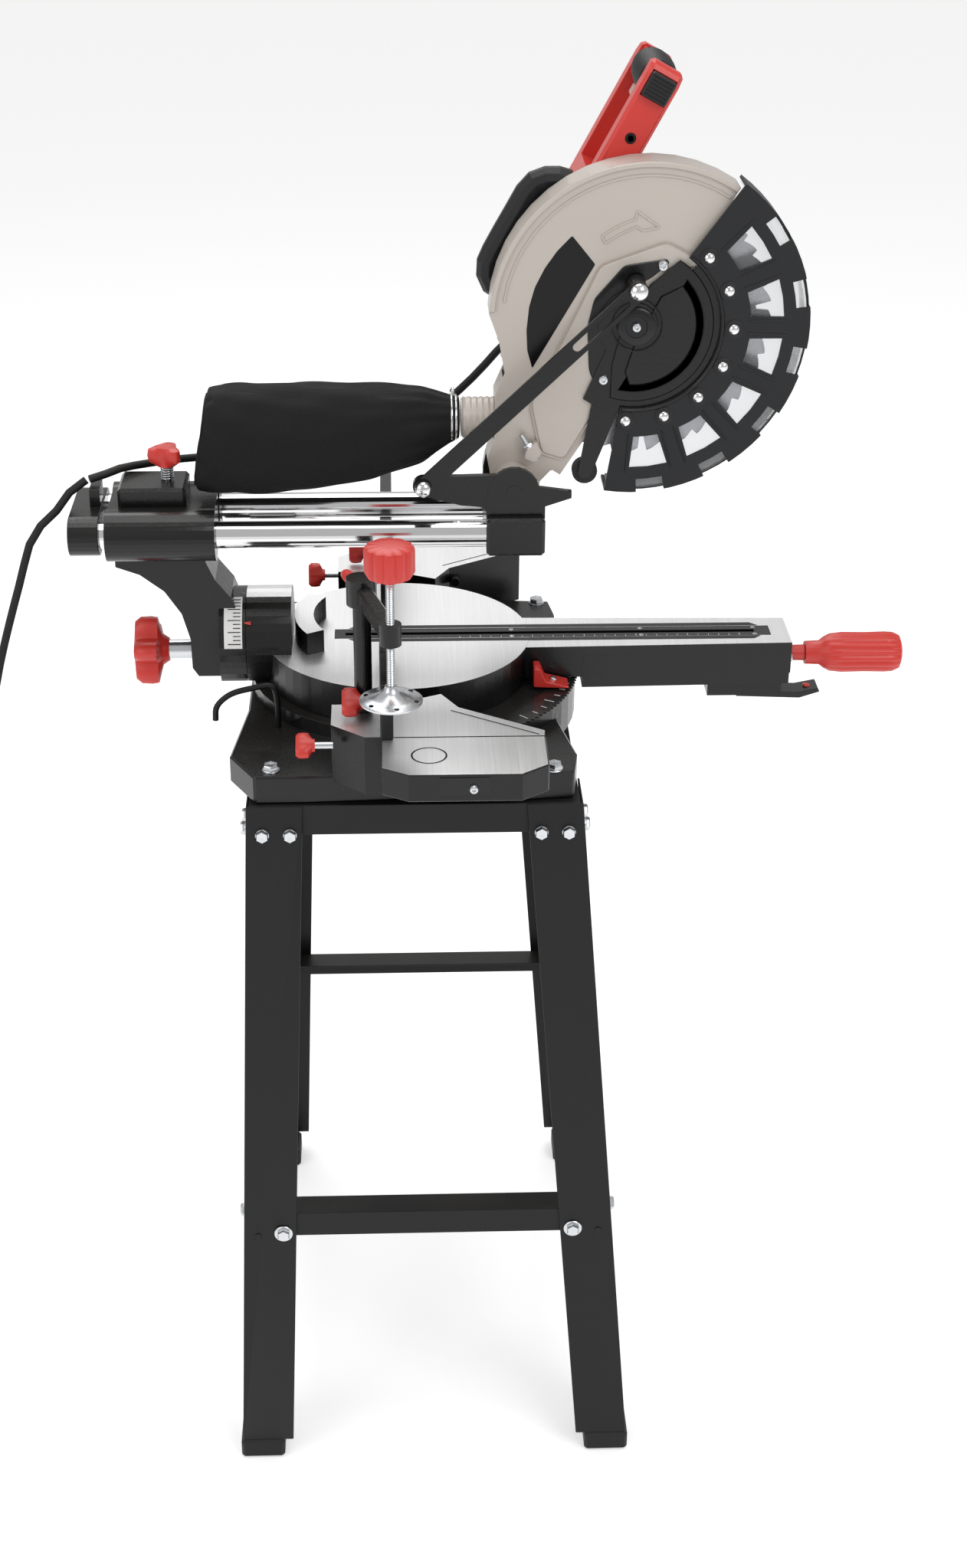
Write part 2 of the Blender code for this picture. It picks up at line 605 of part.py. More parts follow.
def carriage():
    """Sliding head carrier, its two rails, rear cap and the cord clip."""
    body = box("carriage", (-0.056, -0.137, RAIL_Z - 0.017), (0.056, -0.083, 0.935), "gloss_black", 0.003)
    join(body, slab("near_ear", ear_outline(), -EAR_NEAR, -EAR_INNER, "X"))
    join(body, slab("far_ear", ear_outline(), EAR_INNER, EAR_OUTER - 0.002, "X"))
    tail = ([(-0.095, 0.928), (-0.105, 0.9745)] + [(-0.060, 0.9735)]
            + arc(LINK_Y, LINK_Z, 0.0095, 95, -95, 10) + [(-0.060, 0.9455), (-0.078, 0.9440)])
    join(body, slab("link_arm", tail, -0.0465, -0.0395, "X"))
    cut(body, box("neck_slot", (-0.0225, -0.145, 0.9055), (0.0225, -0.0875, 0.99)))
    cut(body, box("neck_slot_front", (-0.0225, -0.145, 0.9055), (0.0225, -0.120, 0.99)))
    for sx in (-1, 1):
        x = sx * RAIL_SPREAD
        cut(body, rod(f"rail_seat_{sx}", (x, RAIL_FRONT - GAP, RAIL_Z), (x, 0.0, RAIL_Z),
                      RAIL_RADIUS + GAP, sides=32))
    join(body, rod("pivot_pin", (-EAR_NEAR - 0.0005, PIVOT_Y, PIVOT_Z), (EAR_OUTER - 0.001, PIVOT_Y, PIVOT_Z),
                   PIVOT_PIN, sides=24))
    for sx, side in ((-1, "near"), (1, "far")):
        x = sx * RAIL_SPREAD
        turned(f"rail_{side}", [(RAIL_RADIUS, RAIL_END - RAIL_FRONT), (RAIL_RADIUS, 0.0),
                                (RAIL_RADIUS - RAIL_WALL, 0.0),
                                (RAIL_RADIUS - RAIL_WALL, RAIL_END - RAIL_FRONT)],
               (x, RAIL_FRONT, RAIL_Z), (0, 1, 0), "chrome", 32)
    outline = (arc(RAIL_SPREAD, RAIL_Z, CAP_RADIUS, -90, 90, 12)
               + arc(-RAIL_SPREAD, RAIL_Z, CAP_RADIUS, 90, 270, 12))
    cap = slab("rear_cap", outline, CAP_FRONT, CAP_REAR, "Y", "gloss_black", 0.002)
    for sx in (-1, 1):
        x = sx * RAIL_SPREAD
        cut(cap, rod(f"cap_bore_{sx}", (x, 0.25, RAIL_Z), (x, RAIL_END + GAP, RAIL_Z),
                     RAIL_RADIUS + GAP, sides=32))
    join(cap, box("cord_clip", (-0.014, 0.2735, RAIL_Z + CAP_RADIUS - 0.002), (0.014, 0.2830, 0.9515)))


# ---------------------------------------------------------------------------- the head
def head():
    """Fixed guard with the neck, arbor gearbox, motor, handles and dust parts."""
    rear = [forward(GUARD_Y, GUARD_Z, GUARD_RADIUS, a) for a in range(57, 178, 8)]
    outline = ([(-0.2670, 1.160)] + rear
               + [(-0.0945, 1.090), (-0.1000, 1.060), (-0.0910, 1.039), (-0.0910, 0.997), (-0.0845, 0.980),
                  (-0.0870, 0.968), (-0.0935, 0.945), (-0.1083, 0.9375), (-0.1230, 0.9435), (-0.1330, 0.9570),
                  (-0.1440, 0.9690), (-0.1520, 0.9640), (-0.2040, 1.046), (-0.2450, 1.108)])
    guard = slab("upper_guard", outline, GUARD_NEAR, GUARD_FAR, "X", "guard_cast")
    join(guard, rod("pivot_barrel", (-EAR_INNER + 0.0025, PIVOT_Y, PIVOT_Z), (0.0205, PIVOT_Y, PIVOT_Z),
                    BARREL_RADIUS, sides=32))
    cut(guard, rod("blade_cavity", (-CAVITY_HALF, BLADE_Y, BLADE_Z), (CAVITY_HALF, BLADE_Y, BLADE_Z),
                   CAVITY_RADIUS, sides=64))
    cut(guard, rod("pivot_bore", (-0.06, PIVOT_Y, PIVOT_Z), (0.06, PIVOT_Y, PIVOT_Z), PIVOT_PIN + RUN, sides=24))
    cut(guard, rod("arbor_opening", (0.0, BLADE_Y, BLADE_Z), (0.05, BLADE_Y, BLADE_Z), 0.0260, sides=24))
    cut(guard, rod("bolt_opening", (-0.05, BLADE_Y, BLADE_Z), (0.0, BLADE_Y, BLADE_Z), 0.030, sides=24))
    port = turned("dust_port", [(0.0175, 0.032), (0.0175, 0.0), (0.0145, 0.0), (0.0145, 0.032)],
                  (0.0015, -0.0925, 1.0140), (0, 1, 0), steps=24)
    join(guard, port)

    m_y, m_z = forward(BLADE_Y, BLADE_Z, SHAFT_DISTANCE, SHAFT_ANGLE)
    shell = slab("gear_housing", fan(BLADE_Y, BLADE_Z, 0.046, -150, 60, 20)
                 + fan(m_y, m_z, 0.050, 40, 200, 18), GEARBOX_NEAR, GEARBOX_FAR, "X", "charcoal", 0.002)
    for y, z, radius in ((BLADE_Y, BLADE_Z, 0.0405), (m_y, m_z, 0.0445)):
        cut(shell, rod(f"chamber_{y:.3f}", (GEARBOX_NEAR - 0.01, y, z), (GEARBOX_FAR - GEARBOX_WALL, y, z), radius,
                       sides=40))
    cut(shell, rod("rotor_bearing_bore", (0.05, m_y, m_z), (0.07, m_y, m_z), ROTOR_SHAFT + RUN, sides=20))
    motor_base = GEARBOX_FAR + GAP
    turned("motor_housing", [(MOTOR_RADIUS, MOTOR_FAR - motor_base), (MOTOR_RADIUS, 0),
                             (MOTOR_RADIUS - MOTOR_WALL, 0), (MOTOR_RADIUS - MOTOR_WALL, MOTOR_FAR - motor_base)],
           (motor_base, m_y, m_z), (1, 0, 0), "charcoal", 40)
    cap_start = MOTOR_FAR + GAP
    turned("motor_end_cap", [(0, END_CAP), (0.030, END_CAP), (MOTOR_RADIUS - 0.004, END_CAP - 0.005),
                             (MOTOR_RADIUS, 0.004), (MOTOR_RADIUS, 0), (MOTOR_RADIUS - MOTOR_WALL, 0),
                             (MOTOR_RADIUS - MOTOR_WALL, 0.006), (0.013, 0.010), (0.013, -0.006),
                             (0.0095, -0.006), (0.0095, 0.010), (0, 0.010)],
           (cap_start, m_y, m_z), (1, 0, 0), "charcoal", 32)
    turned("stator", [(MOTOR_RADIUS - MOTOR_WALL - GAP, 0.060), (MOTOR_RADIUS - MOTOR_WALL - GAP, 0),
                      (0.0290, 0), (0.0290, 0.060)], (0.092, m_y, m_z), (1, 0, 0), "zinc", 32)
    rotor(m_y, m_z)
    bearing()
    arbor()


def toothed(cy, cz, teeth, pitch_radius, module, phase):
    """Outline of a spur gear with trapezoid teeth and generous backlash."""
    root = pitch_radius - 1.15 * module
    tip = pitch_radius + 0.72 * module
    points = []
    step = 2 * math.pi / teeth
    for k in range(teeth):
        a = phase + k * step
        for r, off in ((root, -0.22), (tip, -0.095), (tip, 0.095), (root, 0.22)):
            points.append((cy + r * math.cos(a + off * step), cz + r * math.sin(a + off * step)))
    return points


def gear_module():
    """Tooth module from the shaft distance and the two tooth counts."""
    return 2 * SHAFT_DISTANCE / (GEAR_TEETH + PINION_TEETH)


def rotor(m_y, m_z):
    """Armature with its shaft, commutator, fan and the pinion, as one turning piece."""
    module = gear_module()
    to_gear = math.atan2(BLADE_Z - m_z, BLADE_Y - m_y)
    phase = to_gear + math.pi / PINION_TEETH
    x0, x1 = GEAR_X
    part = rod("rotor", (0.024, m_y, m_z), (0.203, m_y, m_z), ROTOR_SHAFT, "copper", 16)
    join(part, slab("pinion", toothed(m_y, m_z, PINION_TEETH, PINION_TEETH * module / 2, module, phase),
                    x0 - 0.001, x1 + 0.001, "X"))
    join(part, rod("armature", (0.094, m_y, m_z), (0.150, m_y, m_z), ARMATURE_RADIUS, sides=32))
    join(part, rod("commutator", (0.158, m_y, m_z), (0.176, m_y, m_z), 0.0135, sides=24))
    join(part, rod("fan_plate", (0.066, m_y, m_z), (0.069, m_y, m_z), 0.0385, sides=32))
    for k in range(6):
        a = 2 * math.pi * k / 6
        blade = box(f"fan_blade_{k}", (0.0685, -0.0008, 0.012), (0.082, 0.0008, 0.037))
        blade.location = (blade.location.x, m_y + 0.0245 * math.cos(a), m_z + 0.0245 * math.sin(a))
        blade.rotation_euler = (a - math.pi / 2, 0, 0)
        join(part, blade)


def bearing():
    """Ball bearing that carries the arbor in the fixed guard's boss."""
    turned("arbor_bearing", [(0.0257, 0.006), (0.0257, 0), (ARBOR_RADIUS + RUN, 0), (ARBOR_RADIUS + RUN, 0.006)],
           (0.0130, BLADE_Y, BLADE_Z), (1, 0, 0), "chrome", 28)


def arbor():
    """Blade, arbor with its flanges and bolt, and the driven gear."""
    half = BLADE_THICK / 2
    blade = rod("saw_blade", (-half, BLADE_Y, BLADE_Z), (half, BLADE_Y, BLADE_Z), BLADE_RADIUS,
                "blade_steel", 60)
    cut(blade, rod("blade_bore", (-0.01, BLADE_Y, BLADE_Z), (0.01, BLADE_Y, BLADE_Z), BLADE_BORE + 0.0001,
                   sides=24))
    shaft = turned("arbor", [(0, 0.0655), (ARBOR_RADIUS, 0.0655), (ARBOR_RADIUS, 0.0175), (0.024, 0.0155),
                     (0.024, 0.0117 + half), (BLADE_BORE - 0.0002, 0.0117 + half),
                     (BLADE_BORE - 0.0002, 0.0113 - half), (0.022, 0.0113 - half), (0.022, 0.0065),
                     (0.0082, 0.0060), (0.0082, 0.0), (0, 0)],
           (-0.0115, BLADE_Y, BLADE_Z), (1, 0, 0), "zinc", 32)
    module = gear_module()
    m_y, m_z = forward(BLADE_Y, BLADE_Z, SHAFT_DISTANCE, SHAFT_ANGLE)
    phase = math.atan2(m_z - BLADE_Z, m_y - BLADE_Y)
    x0, x1 = GEAR_X
    join(shaft, slab("gear_wheel", toothed(BLADE_Y, BLADE_Z, GEAR_TEETH, GEAR_TEETH * module / 2, module, phase),
                     x0, x1, "X"))


def handles():
    """D-handle with its grip, trigger and lock button, and the carry handle."""
    a = math.radians(HANDLE_ANGLE)
    up = Vector((0, -math.cos(a), math.sin(a)))
    out = Vector((0, -math.sin(a), -math.cos(a)))
    frame = Matrix(((1, 0, 0, 0), (0, up.y, out.y, HANDLE_Y), (0, up.z, out.z, HANDLE_Z), (0, 0, 0, 1)))
    r = HANDLE_WIDTH / 2
    side = 0.020
    top = 0.0155
    foot = -HANDLE_REACH
    outer = [(HANDLE_NEAR, foot), (HANDLE_NEAR, top - 0.010), (HANDLE_NEAR + 0.006, top),
             (HANDLE_FAR - 0.006, top), (HANDLE_FAR, top - 0.010), (HANDLE_FAR, foot)]
    yoke = slab("handle_yoke", outer, -r, r, "Z", "red_plastic", 0.003)
    hole = slab("yoke_opening", [(HANDLE_NEAR + side, foot + 0.030), (HANDLE_NEAR + side, -HANDLE_BAR),
                                 (HANDLE_FAR - side, -HANDLE_BAR), (HANDLE_FAR - side, foot + 0.030)],
                -0.05, 0.05, "Z")
    relief = slab("bar_relief", [(HANDLE_NEAR + side, HANDLE_BAR), (HANDLE_NEAR + side, 0.05),
                                 (HANDLE_FAR - side, 0.05), (HANDLE_FAR - side, HANDLE_BAR)],
                  -0.05, 0.05, "Z")
    front = box("bar_front", (HANDLE_NEAR + side, -HANDLE_BAR - 0.001, HANDLE_BAR),
                (HANDLE_FAR - side, 0.05, 0.05))
    back = box("bar_back", (HANDLE_NEAR + side, -HANDLE_BAR - 0.001, -0.05),
               (HANDLE_FAR - side, 0.05, -HANDLE_BAR))
    pocket = box("button_pocket", (HANDLE_NEAR - 0.01, -0.0155, -0.0125), (HANDLE_NEAR + 0.0055, 0.0085, 0.0125))
    for item in (yoke, hole, relief, front, back, pocket):
        item.matrix_basis = frame @ item.matrix_basis
    for item in (hole, relief, front, back, pocket):
        cut(yoke, item)
    start, end = HANDLE_NEAR + side + 0.001, HANDLE_FAR - side - 0.001
    wrap = (arc(0, 0, 0.0197, -20, 200, 18) + arc(0, 0, 0.0180, 200, -20, 18))
    sleeve = slab("handle_grip", wrap, start, end, "X", "charcoal")
    turn = math.pi / 2 + math.atan2(up.z, up.y) - math.pi
    sleeve.matrix_basis = Matrix.Translation((0, HANDLE_Y, HANDLE_Z)) @ Matrix.Rotation(turn, 4, "X")
    trigger = box("trigger", (HANDLE_NEAR + 0.030, -0.0290, -0.008), (HANDLE_FAR - 0.030, -0.0172, 0.008),
                  "guard_cast", 0.002)
    trigger.matrix_basis = frame @ trigger.matrix_basis
    button = box("lock_button", (HANDLE_NEAR - 0.0055, -0.0150, -0.0120),
                 (HANDLE_NEAR + 0.0015, 0.0080, 0.0120), "charcoal", 0.0015)
    button.matrix_basis = frame @ button.matrix_basis
    loop = [(-0.158, 1.2215), (-0.148, 1.2245), (-0.138, 1.2245), (-0.128, 1.2210), (-0.120, 1.2120),
            (-0.110, 1.1940), (-0.100, 1.1765), (-0.091, 1.1600), (-0.0865, 1.1500), (-0.0860, 1.1400),
            (-0.0900, 1.1310), (-0.0985, 1.1255), (-0.110, 1.1240), (-0.1340, 1.1240)]
    tube("carry_handle", [(CARRY_X, y, z) for y, z in loop], CARRY_RADIUS, "charcoal", 3)


def swinging_guard():
    """Hub plate, windowed carrier, clear shield, roller and the link that works them."""
    hub = slab("guard_hub", fan(BLADE_Y, BLADE_Z, HUB_RADIUS, -124, 44, 28)
               + fan(BLADE_Y, BLADE_Z, 0.034, 60, 220, 14), HUB_NEAR, HUB_NEAR + HUB_THICK, "X", "gloss_black")
    wheel = forward(BLADE_Y, BLADE_Z, ROLLER_PITCH, ROLLER_ANGLE)
    foot_a = forward(BLADE_Y, BLADE_Z, HUB_RADIUS - 0.006, -99)
    foot_b = forward(BLADE_Y, BLADE_Z, HUB_RADIUS - 0.006, -119)
    bracket = [foot_a, foot_b, (wheel[0] + 0.0065, wheel[1]), (wheel[0] + 0.004, wheel[1] - 0.0055),
               (wheel[0] - 0.004, wheel[1] - 0.0055), (wheel[0] - 0.0065, wheel[1])]
    join(hub, slab("roller_bracket", bracket, HUB_NEAR + 0.0001, HUB_NEAR + HUB_THICK - 0.0001, "X"))
    join(hub, rod("roller_axle", (HUB_NEAR + 0.0004, *wheel), (-0.0085, *wheel), 0.003, sides=14))
    join(hub, rod("hub_boss", (HUB_NEAR - 0.0025, BLADE_Y, BLADE_Z), (HUB_NEAR + 0.001, BLADE_Y, BLADE_Z),
                  0.0175, sides=28))
    roller = rod("guard_roller", (-0.0190, *wheel), (-0.0090, *wheel), ROLLER_RADIUS, "charcoal", 24)
    cut(roller, rod("roller_bore", (-0.03, *wheel), (0.0, *wheel), 0.0034, sides=14))

    inner = LOWER_INNER - 0.008
    plate_back = HUB_NEAR - GAP
    carrier = slab("lower_guard", fan(BLADE_Y, BLADE_Z, LOWER_RADIUS, LOWER_START, LOWER_END, 34)
                   + fan(BLADE_Y, BLADE_Z, inner, LOWER_END, LOWER_START, 22),
                   LOWER_NEAR, LOWER_FAR, "X", "charcoal")
    cut(carrier, rod("guard_pocket", (plate_back, BLADE_Y, BLADE_Z), (0.05, BLADE_Y, BLADE_Z),
                     LOWER_RADIUS - LOWER_WALL, sides=74))
    for k in range(WINDOWS):
        mid = WINDOW_FIRST - WINDOW_PITCH * k
        cut(carrier, slab(f"window_{k}", fan(BLADE_Y, BLADE_Z, WINDOW_HIGH, mid - 7.6, mid + 7.6, 2)
                          + fan(BLADE_Y, BLADE_Z, WINDOW_LOW, mid + 6.2, mid - 6.2, 2), -0.04, -0.0215, "X"))
        cut(carrier, slab(f"notch_{k}", fan(BLADE_Y, BLADE_Z, 0.175, mid - 4.6, mid + 4.6, 2)
                          + fan(BLADE_Y, BLADE_Z, NOTCH_LOW, mid + 4.9, mid - 4.9, 2), -0.04, -0.0171, "X"))
    reach = LOWER_RADIUS - LOWER_WALL - GAP - 0.0003
    shield = slab("clear_shield", fan(BLADE_Y, BLADE_Z, reach, LOWER_START + 1, LOWER_END - 1, 34)
                  + fan(BLADE_Y, BLADE_Z, HUB_RADIUS + GAP, LOWER_END - 1, LOWER_START + 1, 22),
                  HUB_NEAR, LOWER_FAR - 0.002, "X", "clear")
    cut(shield, rod("shield_pocket", (HUB_NEAR + 0.0015, BLADE_Y, BLADE_Z), (0.05, BLADE_Y, BLADE_Z),
                    reach - 0.0016, sides=74))

    along = Vector((LINK_TOP_Y - LINK_Y, LINK_TOP_Z - LINK_Z))
    heading = math.degrees(math.atan2(along.y, along.x))
    half = LINK_WIDTH / 2
    bar = slab("link_bar", arc(LINK_TOP_Y, LINK_TOP_Z, half, heading - 90, heading + 90, 10)
               + arc(LINK_Y, LINK_Z, half, heading + 90, heading + 270, 10), LINK_X, LINK_X + LINK_THICK,
               "X", "gloss_black")
    d = along.normalized()
    a0 = Vector((LINK_TOP_Y, LINK_TOP_Z)) - d * 0.016
    a1 = Vector((LINK_TOP_Y, LINK_TOP_Z)) - d * 0.073
    cut(bar, slab("link_slot", arc(a0.x, a0.y, 0.0042, heading - 90, heading + 90, 8)
                  + arc(a1.x, a1.y, 0.0042, heading + 90, heading + 270, 8), -0.07, -0.03, "X"))
    join(bar, rod("link_screw_top", (LINK_X - 0.003, LINK_TOP_Y, LINK_TOP_Z),
                  (-0.0255, LINK_TOP_Y, LINK_TOP_Z), 0.0085, sides=20))
    join(bar, rod("link_screw_low", (LINK_X - 0.003, LINK_Y, LINK_Z), (LINK_X + 0.0035, LINK_Y, LINK_Z),
                  0.0080, sides=20))


def chop_spring():
    """Torsion spring round the chop pivot, between the barrel and the far ear."""
    turns, per_turn = 3, 12
    points = []
    for i in range(turns * per_turn + 1):
        a = 2 * math.pi * i / per_turn
        x = 0.0235 + (0.0385 - 0.0235) * i / (turns * per_turn)
        points.append((x, PIVOT_Y + 0.0135 * math.cos(a), PIVOT_Z + 0.0135 * math.sin(a)))
    tube("chop_spring", points, 0.0013, "zinc", 1)


def dust_bag():
    """Stand-in solid for the cloth bag, over the rails."""
    outline = [(-0.056, 1.034), (-0.040, 1.044), (0.010, 1.050), (0.080, 1.053), (0.145, 1.045), (0.176, 1.024),
               (0.186, 0.995), (0.182, 0.966), (0.150, 0.950), (0.080, 0.944), (0.026, 0.948), (-0.020, 0.962),
               (-0.045, 0.990), (-0.056, 1.000)]
    slab("dust_bag", outline, -0.036, 0.040, "X", "bag_cloth", 0.014, 2)


def clamp():
    """Hold-down clamp: post with its arm, and the screw with knob and pad."""
    base_z = TABLE_Z + GAP
    post = rod("clamp_post", (POST_X, POST_Y, base_z), (POST_X, POST_Y, POST_TOP), POST_RADIUS,
               "gloss_black", 24)
    reach = Vector((CLAMP_X - POST_X, CLAMP_Y - POST_Y, 0))
    arm = box("clamp_arm", (0.0, -0.0070, -0.0080), (reach.length, 0.0070, 0.0080), bevel=0.002)
    turn = Matrix.Rotation(math.atan2(reach.y, reach.x), 4, "Z")
    arm.matrix_basis = Matrix.Translation((POST_X, POST_Y, CLAMP_ARM_Z)) @ turn @ arm.matrix_basis
    join(post, arm)
    join(post, rod("clamp_head", (POST_X, POST_Y, CLAMP_ARM_Z - 0.011), (POST_X, POST_Y, POST_TOP + 0.001),
                   0.0135, sides=28))
    join(post, rod("clamp_collar", (CLAMP_X, CLAMP_Y, CLAMP_ARM_Z - 0.0095),
                   (CLAMP_X, CLAMP_Y, CLAMP_ARM_Z + 0.0095), 0.0095, sides=24))
    cut(post, rod("collar_bore", (CLAMP_X, CLAMP_Y, 0.85), (CLAMP_X, CLAMP_Y, 0.97), SCREW_RADIUS + RUN, sides=20))
    screw = rod("clamp_screw", (CLAMP_X, CLAMP_Y, 0.858), (CLAMP_X, CLAMP_Y, 0.970), SCREW_RADIUS, "zinc", 20)
    join(screw, rod("clamp_knob", (CLAMP_X, CLAMP_Y, 0.9640), (CLAMP_X, CLAMP_Y, 0.9930), CLAMP_KNOB, sides=36))
    join(screw, turned("clamp_pad", [(0, 0.014), (0.0055, 0.013), (0.015, 0.0035), (CLAMP_PAD, 0.002),
                                     (CLAMP_PAD, 0.0), (0, 0.0)], (CLAMP_X, CLAMP_Y, 0.8500), (0, 0, 1),
                       steps=32))


# ----------------------------------------------------------------------------- the cord
def smooth_route(points, count):
    """Points evenly spread over a Catmull-Rom curve through the route's points."""
    nodes = [Vector(p) for p in points]
    padded = [2 * nodes[0] - nodes[1]] + nodes + [2 * nodes[-1] - nodes[-2]]
    dense = []
    for i in range(1, len(padded) - 2):
        p0, p1, p2, p3 = padded[i - 1:i + 3]
        for k in range(24):
            t = k / 24
            dense.append(0.5 * ((2 * p1) + (p2 - p0) * t + (2 * p0 - 5 * p1 + 4 * p2 - p3) * t * t
                                + (3 * p1 - p0 - 3 * p2 + p3) * t ** 3))
    dense.append(nodes[-1])
    lengths = [0.0]
    for a, b in zip(dense, dense[1:]):
        lengths.append(lengths[-1] + (b - a).length)
    out, j = [], 0
    for i in range(count):
        want = lengths[-1] * i / (count - 1)
        while j < len(lengths) - 2 and lengths[j + 1] < want:
            j += 1
        span = max(lengths[j + 1] - lengths[j], 1e-9)
        out.append(dense[j].lerp(dense[j + 1], (want - lengths[j]) / span))
    return out


LEAD_ROUTE = [(0.066, -0.1320, 1.0890), (0.066, -0.1180, 1.0770), (0.066, -0.1010, 1.0620),
              (0.060, -0.0720, 1.0320), (0.055, -0.0350, 1.0020), (0.054, 0.0150, 0.9800),
              (0.054, 0.0700, 0.9690), (0.054, 0.1300, 0.9620), (0.051, 0.1950, 0.9590),
              (0.037, 0.2320, 0.9590), (0.017, 0.2570, 0.9610), (0.004, 0.2720, 0.9590),
              (0.000, 0.2835, 0.9568)]
FREE_ROUTE = [(-0.0005, 0.2865, 0.9564), (-0.004, 0.2960, 0.9530), (-0.009, 0.3070, 0.9400),
              (-0.016, 0.3180, 0.9270), (-0.022, 0.3290, 0.9190), (-0.027, 0.3400, 0.9020),
              (-0.030, 0.3500, 0.8700), (-0.033, 0.3660, 0.8200), (-0.035, 0.3800, 0.7700),
              (-0.036, 0.4080, 0.6500), (-0.036, 0.4280, 0.5000), (-0.035, 0.4400, 0.3600),
              (-0.034, 0.4480, 0.2200), (-0.033, 0.4530, 0.1100), (-0.032, 0.4600, 0.0450),
              (-0.031, 0.4760, 0.0125), (-0.0305, 0.4930, 0.0046), (-0.030, 0.5100, 0.0042),
              (-0.030, 0.5300, 0.0042)]


def cord():
    """Lead on the saw, the free cord down to the floor, its stored coil and the plug."""
    tube("cord_lead", smooth_route(LEAD_ROUTE, 24), CORD_RADIUS, "rubber", 2)
    tube("cord_free", smooth_route(FREE_ROUTE, 52), CORD_RADIUS, "rubber", 2)
    turned("cord_coil", [(COIL_MID + COIL_HALF, COIL_HEIGHT), (COIL_MID + COIL_HALF, 0.0),
                         (COIL_MID - COIL_HALF, 0.0), (COIL_MID - COIL_HALF, COIL_HEIGHT)],
           (COIL_X, COIL_Y, 0.0004), (0, 0, 1), "rubber", 36)
    turned("plug", [(0, 0.040), (0.0140, 0.040), (0.0165, 0.036), (0.0165, 0.016), (0.0100, 0.008), (0.0065, 0.0),
                    (0, 0.0)], (COIL_X + 0.075, COIL_Y + COIL_MID + 0.008, 0.0168), (1, 0, 0), "rubber", 24)


stand()
base()
fences()
extensions()
turntable()
bevel_arm()
carriage()
head()
handles()
swinging_guard()
chop_spring()
dust_bag()
clamp()
cord()
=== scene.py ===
"""Visual model of a sliding mitre saw on a steel stand.

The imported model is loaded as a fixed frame. Each class below is one
sub-assembly: it holds its sizes as fields and adds the visible pieces and
finishes to the frame. Metres, +Z up, -Y is the operator's side.
"""
import json
import logging
import math
from dataclasses import dataclass, field
from enum import Enum

import bmesh
import bpy
import numpy as np
from mathutils import Matrix, Vector

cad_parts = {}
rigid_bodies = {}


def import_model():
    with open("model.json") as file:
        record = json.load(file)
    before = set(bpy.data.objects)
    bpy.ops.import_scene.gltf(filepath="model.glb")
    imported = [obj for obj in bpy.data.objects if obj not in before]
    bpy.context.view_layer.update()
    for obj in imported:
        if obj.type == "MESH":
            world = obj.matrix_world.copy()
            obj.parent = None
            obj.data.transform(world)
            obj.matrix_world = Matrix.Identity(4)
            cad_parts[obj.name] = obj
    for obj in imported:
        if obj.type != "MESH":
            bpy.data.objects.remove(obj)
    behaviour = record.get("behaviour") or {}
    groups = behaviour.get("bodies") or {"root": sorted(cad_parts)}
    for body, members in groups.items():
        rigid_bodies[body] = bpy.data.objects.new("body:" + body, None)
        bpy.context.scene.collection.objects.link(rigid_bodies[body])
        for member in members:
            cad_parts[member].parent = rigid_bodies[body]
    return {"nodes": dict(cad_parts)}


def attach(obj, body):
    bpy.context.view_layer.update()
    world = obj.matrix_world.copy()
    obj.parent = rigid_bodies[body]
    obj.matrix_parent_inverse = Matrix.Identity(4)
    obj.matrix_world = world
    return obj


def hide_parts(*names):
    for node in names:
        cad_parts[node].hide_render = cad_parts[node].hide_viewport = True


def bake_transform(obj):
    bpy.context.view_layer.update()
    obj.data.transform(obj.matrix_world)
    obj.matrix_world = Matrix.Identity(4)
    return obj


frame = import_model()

LOG = logging.getLogger("mitre_saw")
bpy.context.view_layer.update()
OFFSET_Y = 0.09525              # turntable centre ahead of the footprint's centre
TABLE_Z = 0.798
BLADE = (-0.217, 1.106)         # blade axis (y, z) before the offset
LINK_LOW = (-0.025, 0.964)
LINK_TOP = (-0.2155, 1.145)
BEVEL_Z = 0.798                 # bevel axis
TAU = 2 * math.pi
UP, REARWARD, FORWARD = (0, 0, 1), (0, 1, 0), (0, -1, 0)
NEARWARD, FARWARD = (-1, 0, 0), (1, 0, 0)
BASE = "stand_and_base"


# ------------------------------------------------------------------ shape helpers
def full_turn(count: int) -> np.ndarray:
    """Angles of evenly spread points round a circle, the first point not repeated."""
    return np.linspace(0, TAU, count, endpoint=False)


def placed(point: tuple) -> tuple:
    """A point of the saw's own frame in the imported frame."""
    return tuple(np.array(point) + (0, OFFSET_Y, 0))


def turn_basis(axis: tuple[float, float, float]) -> np.ndarray:
    """Three unit rows u, v, w with w along the axis.

    Args:
        axis: Direction of the shape's own third axis.

    Returns:
        A 3 by 3 array of rows.
    """
    w = np.array(axis, float)
    w /= np.linalg.norm(w)
    helper = np.array((1.0, 0, 0)) if abs(w[0]) < 0.9 else np.array((0, 0, 1.0))
    u = np.cross(helper, w)
    u /= np.linalg.norm(u)
    return np.stack([u, np.cross(w, u), w])


